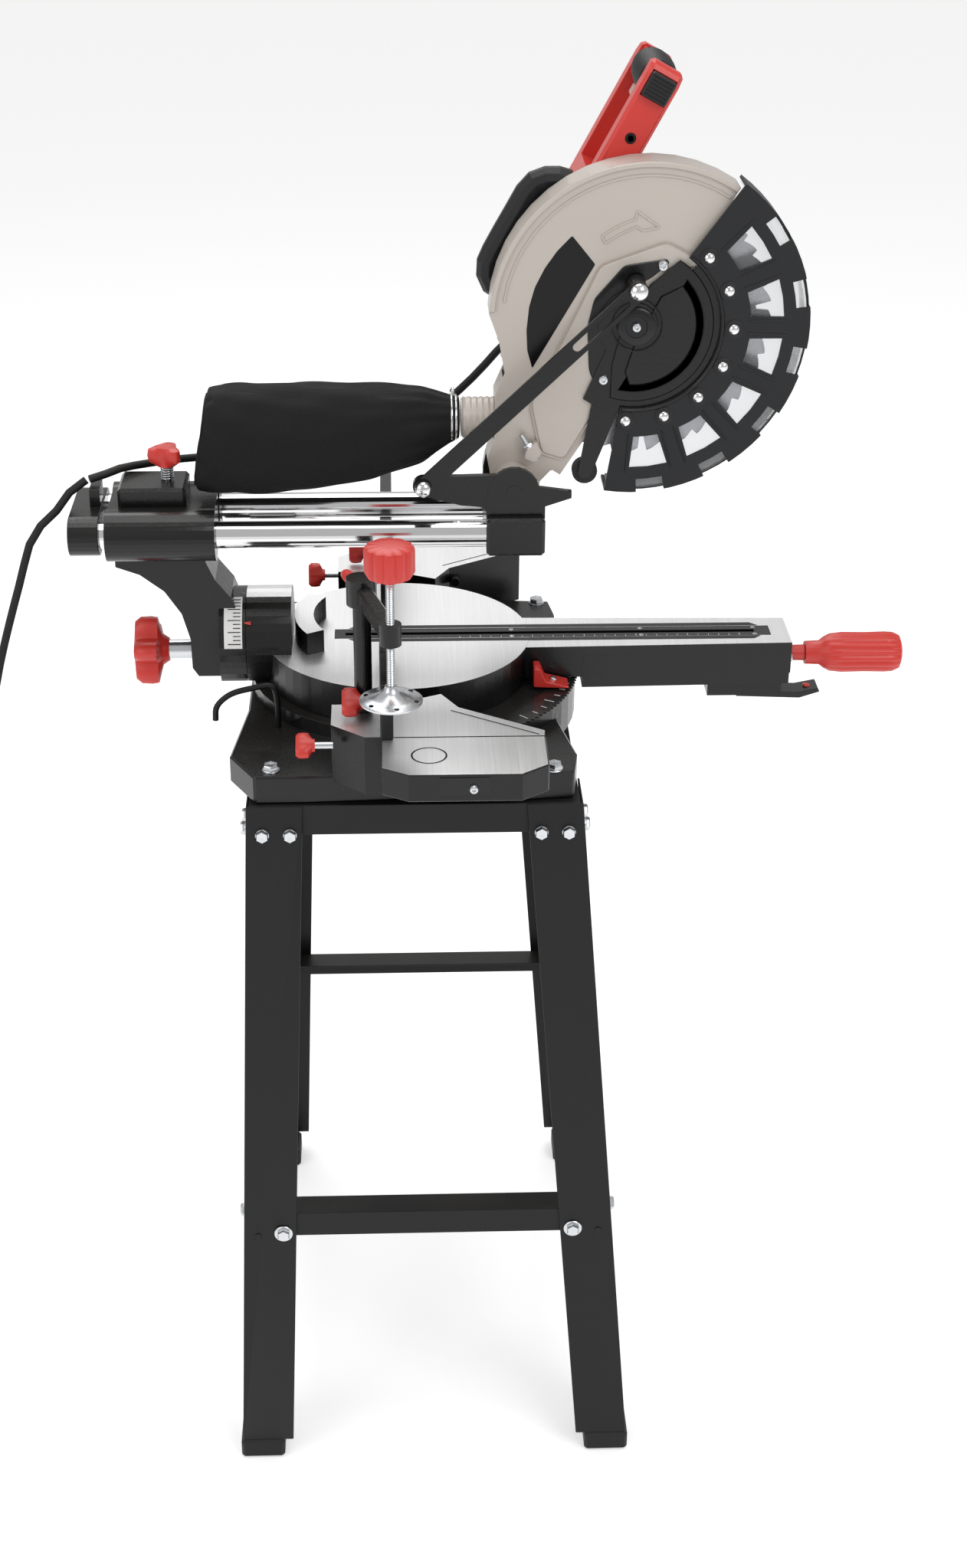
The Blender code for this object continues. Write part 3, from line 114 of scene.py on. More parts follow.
def skin(name: str, rings: np.ndarray, caps: bool = True, smooth: float = 38.0) -> bpy.types.Object:
    """A closed surface through a stack of rings of equal point counts.

    Args:
        name: Name of the new object.
        rings: Array of shape (rings, points, 3).
        caps: Whether the first and last rings are filled.
        smooth: Angle in degrees past which an edge stays sharp.

    Returns:
        The new mesh object, with outward faces.
    """
    count, around = rings.shape[:2]
    index = np.arange(count * around).reshape(count, around)
    after = np.roll(index, -1, axis=1)
    quads = np.stack([index[:-1], after[:-1], after[1:], index[1:]], axis=-1).reshape(-1, 4).tolist()
    if caps:
        quads += [index[0][::-1].tolist(), index[-1].tolist()]
    else:
        quads += np.stack([index[-1], after[-1], after[0], index[0]], axis=-1).tolist()
    mesh = bpy.data.meshes.new(name)
    mesh.from_pydata((rings.reshape(-1, 3) + (0, OFFSET_Y, 0)).tolist(), [], quads)
    shape = bmesh.new()
    shape.from_mesh(mesh)
    bmesh.ops.recalc_face_normals(shape, faces=shape.faces)
    shape.to_mesh(mesh)
    shape.free()
    mesh.shade_smooth()
    mesh.set_sharp_from_angle(angle=math.radians(smooth))
    item = bpy.data.objects.new(name, mesh)
    bpy.context.scene.collection.objects.link(item)
    return item


def lathe(name: str, profile: list, base: tuple, axis: tuple, around: int = 40, lobes: int = 0,
          depth: float = 0.0, sharp: float = 1.0, phase: float = 0.0) -> bpy.types.Object:
    """A turned or fluted piece: radius(t) times 1 + depth * |cos|-shaped lobes of the angle.

    Args:
        name: Name of the new object.
        profile: Rows of (radius, distance along the axis, share of the lobes).
        base: Start point of the axis.
        axis: Direction of the axis.
        around: Points round the axis.
        lobes: How many flutes or wings go round.
        depth: Depth of the flutes as a share of the radius.
        sharp: Power that narrows the lobes.
        phase: Turn of the lobes in degrees.

    Returns:
        The new mesh object.
    """
    rows = np.array([(*row, 1.0)[:3] for row in profile], float)
    angle = full_turn(around)
    wave = (0.5 + 0.5 * np.cos(lobes * (angle - math.radians(phase)))) ** sharp if lobes else angle * 0
    radius = np.maximum(rows[:, :1], 1e-4) * (1 - depth * rows[:, 2:3] * (1 - wave[None, :]))
    u, v, w = turn_basis(axis)
    ring = radius[..., None] * (np.cos(angle)[:, None] * u + np.sin(angle)[:, None] * v)
    return skin(name, np.array(base) + ring + rows[:, 1, None, None] * w)


def plate(name: str, outline: np.ndarray, x0: float, x1: float, edge: float = 0.0006,
          axis: str = "X") -> bpy.types.Object:
    """A flat outline given thickness, its rims eased by an inset ring at both faces.

    Args:
        name: Name of the new object.
        outline: Points (a, b) of the outline, (y, z) along X, (x, z) along Y, (x, y) along Z.
        x0: One face.
        x1: The other face.
        edge: Width of the eased rim.
        axis: The thickness's axis.

    Returns:
        The new mesh object.
    """
    flat = np.array(outline, float)
    ahead = np.roll(flat, -1, axis=0) - flat
    behind = flat - np.roll(flat, 1, axis=0)
    after = flat + ahead
    turn = np.sign((flat[:, 0] * after[:, 1] - after[:, 0] * flat[:, 1]).sum())
    way = (ahead / np.linalg.norm(ahead, axis=1)[:, None]
           + behind / np.linalg.norm(behind, axis=1)[:, None])
    way /= np.maximum(np.linalg.norm(way, axis=1)[:, None], 1e-6)
    inward = turn * np.stack([-way[:, 1], way[:, 0]], axis=1)
    small = flat + inward * edge
    step = edge * np.sign(x1 - x0)
    levels = [(small, x0), (flat, x0 + step), (flat, x1 - step), (small, x1)]
    order = {"X": (2, 0, 1), "Y": (0, 2, 1), "Z": (0, 1, 2)}[axis]
    rings = np.stack([np.column_stack([ring, np.full(len(ring), level)]) for ring, level in levels])
    return skin(name, rings[:, :, order])


def pipe(name: str, path: np.ndarray, radius: float | np.ndarray, around: int = 12, flat: float = 1.0,
         cyclic: bool = False) -> bpy.types.Object:
    """A round or oval section carried along a path, with frames turned step by step.

    Args:
        name: Name of the new object.
        path: Centre points, shape (n, 3).
        radius: One radius or one for each point.
        around: Points round the section.
        flat: Height of the section as a share of its width.
        cyclic: Whether the path closes on itself.

    Returns:
        The new mesh object.
    """
    path = np.array(path, float)
    way = np.roll(path, -1, axis=0) - np.roll(path, 1, axis=0)
    if not cyclic:
        way[0], way[-1] = path[1] - path[0], path[-1] - path[-2]
    way /= np.linalg.norm(way, axis=1)[:, None]
    side = np.cross(way[0], (0, 0, 1.0) if abs(way[0, 2]) < 0.9 else (1.0, 0, 0))
    sides = []
    for step in way:
        side = side - step * side.dot(step)
        side = side / np.linalg.norm(side)
        sides.append(side)
    sides = np.array(sides)
    over = np.cross(way, sides)
    angle = full_turn(around)
    size = np.broadcast_to(np.asarray(radius, float), (len(path),))[:, None, None]
    rings = path[:, None] + size * (np.cos(angle)[None, :, None] * sides[:, None]
                                    + flat * np.sin(angle)[None, :, None] * over[:, None])
    return skin(name, rings, caps=not cyclic, smooth=60)


def smooth_route(points: list, count: int) -> np.ndarray:
    """Evenly spread points on a Catmull-Rom curve through the route's points.

    Args:
        points: The route's own points.
        count: How many points come out.

    Returns:
        Array of shape (count, 3).
    """
    nodes = np.array(points, float)
    padded = np.vstack([2 * nodes[0] - nodes[1], nodes, 2 * nodes[-1] - nodes[-2]])
    t = np.linspace(0, 1, 24, endpoint=False)[None, :, None]
    p0, p1, p2, p3 = (padded[i:len(padded) - 3 + i][:, None] for i in range(4))
    dense = 0.5 * (2 * p1 + (p2 - p0) * t + (2 * p0 - 5 * p1 + 4 * p2 - p3) * t ** 2
                   + (3 * p1 - p0 - 3 * p2 + p3) * t ** 3)
    dense = np.vstack([dense.reshape(-1, 3), nodes[-1]])
    length = np.concatenate([[0], np.cumsum(np.linalg.norm(np.diff(dense, axis=0), axis=1))])
    want = np.linspace(0, length[-1], count)
    return np.stack([np.interp(want, length, dense[:, k]) for k in range(3)], axis=1)


def fan(radius: float, start: float, end: float, count: int, centre: tuple = BLADE) -> np.ndarray:
    """Points (y, z) on a circle; forward is 0 degrees and up is 90.

    Args:
        radius: Radius of the circle.
        start: First angle in degrees.
        end: Last angle in degrees.
        count: Number of points.
        centre: Centre (y, z).

    Returns:
        Array of shape (count, 2).
    """
    angle = np.radians(np.linspace(start, end, count))
    return np.stack([centre[0] - radius * np.cos(angle), centre[1] + radius * np.sin(angle)], axis=1)


def rounded(outline: list, radius: float, steps: int = 5) -> np.ndarray:
    """An outline whose corners are replaced by arcs (quadratic curves through the corner's legs).

    Args:
        outline: Corner points (a, b).
        radius: How far from the corner the rounding starts.
        steps: Points on each corner.

    Returns:
        Array of points.
    """
    flat = np.array(outline, float)
    before, after = np.roll(flat, 1, axis=0) - flat, np.roll(flat, -1, axis=0) - flat
    back, on = np.linalg.norm(before, axis=1), np.linalg.norm(after, axis=1)
    reach = np.minimum(radius, 0.45 * np.minimum(back, on))
    start = flat + before / back[:, None] * reach[:, None]
    end = flat + after / on[:, None] * reach[:, None]
    t = np.linspace(0, 1, steps)[None, :, None]
    curve = (1 - t) ** 2 * start[:, None] + 2 * t * (1 - t) * flat[:, None] + t ** 2 * end[:, None]
    return curve.reshape(-1, 2)


# ---------------------------------------------------------------------- materials
def math_node(tree: bpy.types.NodeTree, operation: str, *values: object) -> bpy.types.NodeSocket:
    """A Math node fed by sockets or constants.

    Args:
        tree: The node tree.
        operation: The node's operation.
        values: One socket or number for each input.

    Returns:
        The result socket.
    """
    made = tree.nodes.new("ShaderNodeMath")
    made.operation = operation
    for slot, value in zip(made.inputs, values):
        if isinstance(value, (int, float)):
            slot.default_value = value
        else:
            tree.links.new(value, slot)
    return made.outputs[0]


def mix_node(tree: bpy.types.NodeTree, kind: str, factor: object, low: object, high: object) -> object:
    """A Mix node of a data type, between two sockets.

    Args:
        tree: The node tree.
        kind: FLOAT or RGBA.
        factor: Socket of the share of the second input.
        low: Socket shown at factor 0.
        high: Socket shown at factor 1.

    Returns:
        The result socket.
    """
    made = tree.nodes.new("ShaderNodeMix")
    made.data_type = kind
    for key, value in (("Factor", factor), ("A", low), ("B", high)):
        tree.links.new(value, made.inputs[key])
    return made.outputs["Result"]


def surface_group() -> bpy.types.NodeTree:
    """Shared effect: mottled colour, uneven gloss, settled dust and a fine grain height."""
    tree = bpy.data.node_groups.new("surface detail", "ShaderNodeTree")
    face = tree.interface
    number, hue = "NodeSocketFloat", "NodeSocketColor"
    for name, kind, value in (("Colour", hue, None), ("Dust Colour", hue, None),
                              ("Roughness", number, 0.4), ("Uneven", number, 0.1),
                              ("Grain Scale", number, 900.0), ("Dust", number, 0.1),
                              ("Stretch", "NodeSocketVector", None)):
        socket = face.new_socket(name, in_out="INPUT", socket_type=kind)
        if value is not None:
            socket.default_value = value
    for name, kind in (("Colour", hue), ("Roughness", number), ("Height", number)):
        face.new_socket(name, in_out="OUTPUT", socket_type=kind)
    add, link = tree.nodes.new, tree.links.new
    start, end, place = add("NodeGroupInput"), add("NodeGroupOutput"), add("ShaderNodeTexCoord")
    scaled = add("ShaderNodeVectorMath")
    scaled.operation = "MULTIPLY"
    link(place.outputs["Object"], scaled.inputs[0])
    link(start.outputs["Stretch"], scaled.inputs[1])
    grain = add("ShaderNodeTexNoise")
    grain.inputs["Detail"].default_value = 4
    link(scaled.outputs[0], grain.inputs["Vector"])
    link(start.outputs["Grain Scale"], grain.inputs["Scale"])
    cloud = add("ShaderNodeTexNoise")
    cloud.inputs["Scale"].default_value = 14
    cloud.inputs["Detail"].default_value = 6
    link(place.outputs["Object"], cloud.inputs["Vector"])
    split = add("ShaderNodeSeparateXYZ")
    link(place.outputs["Normal"], split.inputs[0])
    settled = math_node(tree, "MULTIPLY", split.outputs["Z"], cloud.outputs["Fac"])
    dusty = math_node(tree, "MULTIPLY", settled, start.outputs["Dust"])
    dusty.node.use_clamp = True
    colour = mix_node(tree, "RGBA", dusty, start.outputs["Colour"], start.outputs["Dust Colour"])
    mixed = math_node(tree, "ADD", cloud.outputs["Fac"], grain.outputs["Fac"])
    centred = math_node(tree, "SUBTRACT", mixed, 0.5)
    rough = math_node(tree, "MULTIPLY_ADD", centred, start.outputs["Uneven"], start.outputs["Roughness"])
    link(colour, end.inputs["Colour"])
    link(rough, end.inputs["Roughness"])
    link(grain.outputs["Fac"], end.inputs["Height"])
    return tree


SURFACE = surface_group()
DUST_COLOUR = (0.42, 0.38, 0.32, 1)
MILLED_GREY = (0.72, 0.92)
MILLED_ROUGHNESS = (0.36, 0.52)


class Extra(Enum):
    """Patterns that a finish may add to the shared surface detail."""
    NONE = "none"
    MACHINED_TOP = "machined top on a painted casting"
    WEAVE = "woven cloth"


@dataclass(frozen=True)
class Finish:
    """One finish of the object: colour, gloss, grain and the record's slot."""
    name: str
    colour: tuple
    rough: float
    metal: float = 0.0
    slot: str = "gloss_black"
    coat: float = 0.0
    uneven: float = 0.08
    grain: float = 900.0
    bump: float = 0.0002
    stretch: tuple = (1.0, 1.0, 1.0)
    dust: float = 0.05
    extra: Extra = Extra.NONE
    clear: float = 0.0
    anisotropy: float = 0.0
    specular: float = 0.5

    def material(self) -> bpy.types.Material:
        """The finish's material, made once."""
        found = bpy.data.materials.get(self.name)
        if found:
            return found
        made = bpy.data.materials.new(self.name)
        made.use_nodes = True
        add, link = made.node_tree.nodes.new, made.node_tree.links.new
        shader = made.node_tree.nodes["Principled BSDF"]
        detail = add("ShaderNodeGroup")
        detail.node_tree = SURFACE
        for key, value in (("Colour", (*self.colour, 1)), ("Dust Colour", DUST_COLOUR),
                           ("Roughness", self.rough - 0.5 * self.uneven), ("Uneven", self.uneven),
                           ("Grain Scale", self.grain), ("Dust", self.dust), ("Stretch", self.stretch)):
            detail.inputs[key].default_value = value
        bump = add("ShaderNodeBump")
        bump.inputs["Distance"].default_value = self.bump
        bump.inputs["Strength"].default_value = 0.6
        for key, value in (("Coat Weight", self.coat), ("Coat Roughness", 0.12), ("Metallic", self.metal),
                           ("Anisotropic", self.anisotropy), ("Specular IOR Level", self.specular)):
            shader.inputs[key].default_value = value
        colour, rough, height = (detail.outputs[key] for key in ("Colour", "Roughness", "Height"))
        if self.extra is Extra.MACHINED_TOP:
            colour, rough = self.machined(made.node_tree, shader, colour, rough)
        if self.extra is Extra.WEAVE:
            height = self.woven(made.node_tree)
        link(colour, shader.inputs["Base Color"])
        link(rough, shader.inputs["Roughness"])
        link(height, bump.inputs["Height"])
        link(bump.outputs["Normal"], shader.inputs["Normal"])
        if self.clear:
            shader.inputs["Transmission Weight"].default_value = self.clear
            shader.inputs["IOR"].default_value = 1.3
        return made

    @staticmethod
    def machined(tree: bpy.types.NodeTree, shader: bpy.types.Node, colour: object, rough: object) -> tuple:
        """Faces that look straight up are bare milled metal, the rest stays painted.

        Args:
            tree: The material's node tree.
            shader: Its Principled shader.
            colour: The paint's colour socket.
            rough: The paint's roughness socket.

        Returns:
            The colour and roughness sockets with the milled faces mixed in.
        """
        add, link = tree.nodes.new, tree.links.new
        place = add("ShaderNodeTexCoord")
        facing, where = add("ShaderNodeSeparateXYZ"), add("ShaderNodeSeparateXYZ")
        link(place.outputs["Normal"], facing.inputs[0])
        link(place.outputs["Object"], where.inputs[0])
        level = math_node(tree, "GREATER_THAN", facing.outputs["Z"], 0.97)
        high = math_node(tree, "GREATER_THAN", where.outputs["Z"], TABLE_Z - 0.0015)
        milled = math_node(tree, "MULTIPLY", level, high)
        streak, scale = add("ShaderNodeTexNoise"), add("ShaderNodeMapping")
        scale.inputs["Scale"].default_value = (6.0, 700.0, 6.0)
        streak.inputs["Scale"].default_value = 2.0
        streak.inputs["Detail"].default_value = 3
        link(place.outputs["Object"], scale.inputs["Vector"])
        link(scale.outputs[0], streak.inputs["Vector"])
        ranges = []
        for low, top in (MILLED_GREY, MILLED_ROUGHNESS):
            spread = add("ShaderNodeMapRange")
            spread.inputs["To Min"].default_value, spread.inputs["To Max"].default_value = low, top
            link(streak.outputs["Fac"], spread.inputs["Value"])
            ranges.append(spread.outputs[0])
        grey = add("ShaderNodeCombineColor")
        for channel in ("Red", "Green", "Blue"):
            link(ranges[0], grey.inputs[channel])
        link(milled, shader.inputs["Metallic"])
        return (mix_node(tree, "RGBA", milled, colour, grey.outputs[0]),
                mix_node(tree, "FLOAT", milled, rough, ranges[1]))

    @staticmethod
    def woven(tree: bpy.types.NodeTree) -> object:
        """Height of a plain weave: the product of two fine waves across each other.

        Args:
            tree: The material's node tree.

        Returns:
            The height socket.
        """
        place, waves = tree.nodes.new("ShaderNodeTexCoord"), []
        for way in ("Y", "Z"):
            wave = tree.nodes.new("ShaderNodeTexWave")
            wave.bands_direction = way
            wave.inputs["Scale"].default_value = 260
            wave.inputs["Distortion"].default_value = 0.6
            tree.links.new(place.outputs["Object"], wave.inputs["Vector"])
            waves.append(wave.outputs["Fac"])
        return math_node(tree, "MULTIPLY", *waves)


GLOSS = Finish("gloss black enamel", (0.0045, 0.0045, 0.005), 0.26, coat=0.15, specular=0.32,
               grain=260, bump=0.0003)
SATIN = Finish("satin black powder coat", (0.0060, 0.0060, 0.0065), 0.40, specular=0.28,
               slot="satin_black", grain=1600, bump=0.00015)
CASTING = Finish("painted casting with milled top", (0.0045, 0.0045, 0.005), 0.28, coat=0.12,
                 specular=0.32, slot="machined", extra=Extra.MACHINED_TOP)
CHROME = Finish("hard chrome", (0.78, 0.78, 0.79), 0.07, 1.0, slot="chrome", uneven=0.03,
                bump=0.00002)
ZINC = Finish("bright zinc plate", (0.63, 0.65, 0.67), 0.27, 1.0, slot="zinc", uneven=0.12,
              bump=0.00006)
BLADE_STEEL = Finish("ground blade steel", (0.52, 0.52, 0.54), 0.26, 1.0, slot="blade_steel",
                     uneven=0.12, bump=0.00005, anisotropy=0.5)
GUARD = Finish("warm grey guard paint", (0.475, 0.430, 0.385), 0.42, 0.10, slot="guard_cast",
               coat=0.25, uneven=0.10, grain=1500, bump=0.00012, dust=0.0)
RED = Finish("red moulded plastic", (0.56, 0.030, 0.022), 0.34, slot="red_plastic", grain=1400,
             bump=0.00012)
CHARCOAL = Finish("charcoal moulded plastic", (0.0095, 0.0100, 0.0115), 0.46, specular=0.34,
                  slot="charcoal", grain=1900, bump=0.00025)
CLEAR = Finish("smoked clear plastic", (0.80, 0.81, 0.82), 0.06, slot="clear", clear=0.92,
               bump=0.00002, dust=0.0)
RUBBER = Finish("black rubber", (0.009, 0.009, 0.0095), 0.58, specular=0.3, slot="rubber",
                grain=1200, bump=0.0002)
COPPER = Finish("wound copper", (0.60, 0.27, 0.12), 0.35, 1.0, slot="copper", stretch=(40, 1, 1))
CLOTH = Finish("black bag cloth", (0.0075, 0.0075, 0.008), 0.82, specular=0.25, slot="bag_cloth",
               extra=Extra.WEAVE, bump=0.0005, dust=0.02)
# Plain black for real marks, lines and panels. It is also painted shade where it stands for the dark inside
# of holes and slots that are not cut.
PLAIN_BLACK_AND_HOLE_SHADE = Finish("plain black panel", (0.003, 0.003, 0.003), 0.24, specular=0.3, grain=500,
               bump=0.00003, dust=0.0)
WHITE = Finish("white scale plate", (0.78, 0.78, 0.76), 0.35, slot="clear", dust=0.0)


def dress(item: bpy.types.Object, finish: Finish, body: str | None, *stands_for: str) -> bpy.types.Object:
    """Give a new piece its finish, body and the CAD nodes it stands for.

    Args:
        item: The piece.
        finish: Its finish.
        body: The body it rides on, or None where it is blended between two.
        stands_for: CAD nodes that it replaces.

    Returns:
        The same piece.
    """
    item.data.materials.clear()
    item.data.materials.append(finish.material())
    if body:
        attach(item, body)
    if stands_for:
        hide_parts(*stands_for)
    return item


def soften(node: str, finish: Finish, width: float) -> None:
    """Refinish a CAD node and ease its edges.

    Args:
        node: The CAD node.
        finish: Its finish.
        width: Width of the eased edge, 0 for none.
    """
    item = frame["nodes"][node]
    item.data.materials.clear()
    item.data.materials.append(finish.material())
    weld = item.modifiers.new("weld", "WELD")
    weld.merge_threshold = 0.00002
    if width:
        ease = item.modifiers.new("ease", "BEVEL")
        ease.width = width
        ease.segments = 2
        ease.limit_method = "ANGLE"
        ease.angle_limit = math.radians(32)
        ease.use_clamp_overlap = True


# --------------------------------------------------------------------- the studio
@dataclass
class Studio:
    """Camera, pale floor and soft light."""
    focal_px: float = 2978.8
    frame_px: tuple = (1262, 2047)
    pitch: float = 27.46
    yaw: float = -2.383
    roll: float = 0.42
    stand: tuple = (-2.0197, 0.0, 1.6839)
    sensor: float = 36.0
    floor_half: float = 30.0
    aim: tuple = (0, 0, 0.8)
    lamps: tuple = (("key", (-2.2, -1.6, 3.0), 1.6, 34), ("fill", (-1.8, 2.4, 2.2), 2.0, 20),
                    ("back", (2.0, 0.4, 3.4), 1.7, 28), ("top", (0, 0.1, 3.4), 1.6, 20))

    def camera(self) -> None:
        """Camera whose rows are built from pitch, yaw and roll."""
        p, y, r = (math.radians(v) for v in (self.pitch, self.yaw, self.roll))
        ahead = Vector((math.cos(y) * math.cos(p), math.sin(y) * math.cos(p), -math.sin(p)))
        right = Vector((math.sin(y), -math.cos(y), 0.0))
        above = right.cross(ahead)
        right, above = (math.cos(r) * right + math.sin(r) * above,
                        math.cos(r) * above - math.sin(r) * right)
        data = bpy.data.cameras.new("camera")
        data.sensor_fit = "VERTICAL"
        data.sensor_height = self.sensor
        data.lens = self.sensor * self.focal_px / self.frame_px[1]
        item = bpy.data.objects.new("camera", data)
        turn = Matrix((right, above, -ahead)).transposed().to_4x4()
        item.matrix_world = Matrix.Translation(placed(self.stand)) @ turn
        bpy.context.scene.collection.objects.link(item)
        bpy.context.scene.camera = item

    def floor_and_light(self) -> None:
        """A large pale floor, four soft boxes and a pale sky."""
        mesh = bpy.data.meshes.new("floor")
        s = self.floor_half
        mesh.from_pydata([(-s, -s, 0), (s, -s, 0), (s, s, 0), (-s, s, 0)], [], [(0, 1, 2, 3)])
        floor = bpy.data.objects.new("floor", mesh)
        paint = bpy.data.materials.new("pale floor")
        paint.use_nodes = True
        shader = paint.node_tree.nodes["Principled BSDF"]
        for key, value in (("Base Color", (0.86, 0.86, 0.86, 1)), ("Roughness", 0.9),
                           ("Emission Color", (1, 1, 1, 1)), ("Emission Strength", 0.42)):
            shader.inputs[key].default_value = value
        mesh.materials.append(paint)
        bpy.context.scene.collection.objects.link(floor)
        for name, place, size, power in self.lamps:
            light = bpy.data.lights.new(name, "AREA")
            light.size = size
            light.energy = power
            lamp = bpy.data.objects.new(name, light)
            lamp.location = place
            way = Vector(self.aim) - Vector(place)
            lamp.rotation_euler = way.to_track_quat("-Z", "Y").to_euler()
            bpy.context.scene.collection.objects.link(lamp)
        world = bpy.data.worlds.new("pale sky")
        world.use_nodes = True
        add, link = world.node_tree.nodes.new, world.node_tree.links.new
        sky = world.node_tree.nodes["Background"]
        seen, power = add("ShaderNodeLightPath"), add("ShaderNodeMapRange")
        sky.inputs["Color"].default_value = (1, 1, 1, 1)
        power.inputs["To Min"].default_value, power.inputs["To Max"].default_value = 0.55, 1.0
        link(seen.outputs["Is Camera Ray"], power.inputs["Value"])
        link(power.outputs[0], sky.inputs["Strength"])
        bpy.context.scene.world = world
        bpy.context.scene.view_settings.view_transform = "Standard"

    def build(self) -> None:
        """Set up camera, floor and lights."""
        self.camera()
        self.floor_and_light()


# -------------------------------------------------------------------- small fittings
def hex_bolt(name: str, base: tuple, axis: tuple, flats: float, body: str, washer: float = 0.62) -> None:
    """A washer with a chamfered hexagon head.

    The hexagon's radius is half the width across the flats over the cosine to the nearest flat.

    Args:
        name: Name stem.
        base: Where the washer sits.
        axis: Way the head points.
        flats: Width across the flats.
        body: Body it rides on.
        washer: Radius of the washer as a share of the width across the flats.
    """
    wide, high = flats * washer, flats * 0.46
    rows = [(wide, 0), (wide, 0.0008), (wide * 0.97, 0.0011), (flats * 0.4, 0.0011)]
    dress(lathe(name + "_washer", rows, base, axis, 28), ZINC, body)
    angle = full_turn(36)
    off = np.abs(((angle + math.pi / 6) % (math.pi / 3)) - math.pi / 6)
    hexagon = 0.5 * flats / np.cos(off)
    rows = ((1.0, 0.0008), (1.0, high * 0.72), (0.86, high), (0.2, high), (0.02, high * 0.96))
    u, v, w = turn_basis(axis)
    ring = np.cos(angle)[:, None] * u + np.sin(angle)[:, None] * v
    capped = [(np.minimum(hexagon, 0.5 * flats * 1.155 * (1 if k < 0.99 else 2)) * k)[:, None] * ring + t * w
              for k, t in rows]
    dress(skin(name, np.array(base) + np.array(capped)), ZINC, body)


def screw_head(name: str, base: tuple, axis: tuple, radius: float, body: str) -> None:
    """A domed screw with a round recess.

    Args:
        name: Name of the piece.
        base: Centre of its seat.
        axis: Way it points.
        radius: Radius of the head.
        body: Body it rides on.
    """
    shares = ((1, 0), (1, 0.35), (0.8, 0.7), (0.5, 0.82), (0.42, 0.82), (0.38, 0.35), (0.05, 0.33))
    dress(lathe(name, [(r * radius, t * radius) for r, t in shares], base, axis, 24), ZINC, body)


def wing_knob(name: str, seat: tuple, axis: tuple, reach: float, size: float, body: str,
              turn: float = 20) -> None:
    """Two-winged red knob on a plain bright rod.

    Args:
        name: Name stem.
        seat: Where the rod leaves the casting.
        axis: Way the knob points.
        reach: Length of bare rod.
        size: Radius of the wings.
        body: Body it rides on.
        turn: Turn of the wings in degrees.
    """
    dress(lathe(name + "_rod", [(0.0032, -0.002), (0.0032, reach + 0.002)], seat, axis, 16), ZINC, body)
    start = np.array(seat) + np.array(axis) * reach
    shares = ((0.45, 0, 0), (0.48, 0.2, 0), (0.95, 0.45, 1), (1.0, 0.8, 1), (0.98, 1.15, 1),
              (0.8, 1.35, 1), (0.3, 1.2, 0.5))
    rows = [(r * size, t * size, wing) for r, t, wing in shares]
    dress(lathe(name, rows, tuple(start), axis, 48, 2, 0.55, 1.8, turn), RED, body)


# ------------------------------------------------------------------ sub-assemblies
def four_corners(stem: str) -> tuple:
    """Node names of a part that stands at each corner of the stand."""
    return tuple(f"{stem}{side}_{end}" for side in ("near", "far") for end in ("rear", "front"))


@dataclass
class CarriedParts:
    """Finishes and eased edges of the CAD nodes that keep their shape."""
    edge: float = 0.0007
    finishes: dict = field(default_factory=lambda: {
        GLOSS: ("fence_near", "fence_far", "upper_fence_near", "bevel_arm", "carriage", "rear_cap",
                "guard_hub", "link_bar", "detent_lever", "kerf_insert", "clamp_post"),
        SATIN: four_corners("leg_") + tuple(f"{level}_rail_{side}" for level in ("top", "lower")
                                          for side in ("near", "far", "rear", "front")),
        CASTING: ("turntable", "extension_near", "extension_far", "base_casting"),
        CHROME: ("rail_near", "rail_far", "arbor_bearing"),
        ZINC: ("stator", "chop_spring", "arbor"),
        GUARD: ("upper_guard", "trigger"),
        RED: ("handle_yoke",),
        CHARCOAL: ("gear_housing", "motor_housing", "motor_end_cap", "carry_handle", "lower_guard",
                   "lock_button", "guard_roller"),
        RUBBER: four_corners("foot_"),
        CLEAR: ("clear_shield",),
        COPPER: ("rotor",),
    })
    plain: tuple = ("rail_near", "rail_far", "chop_spring", "rotor", "stator", "arbor_bearing",
                    "clear_shield", "upper_guard", "lower_guard", "kerf_insert")

    def build(self) -> None:
        """Assign every finish and ease the edges where the node has open corners."""
        for finish, nodes in self.finishes.items():
            for node in nodes:
                soften(node, finish, 0.0 if node in self.plain else self.edge)


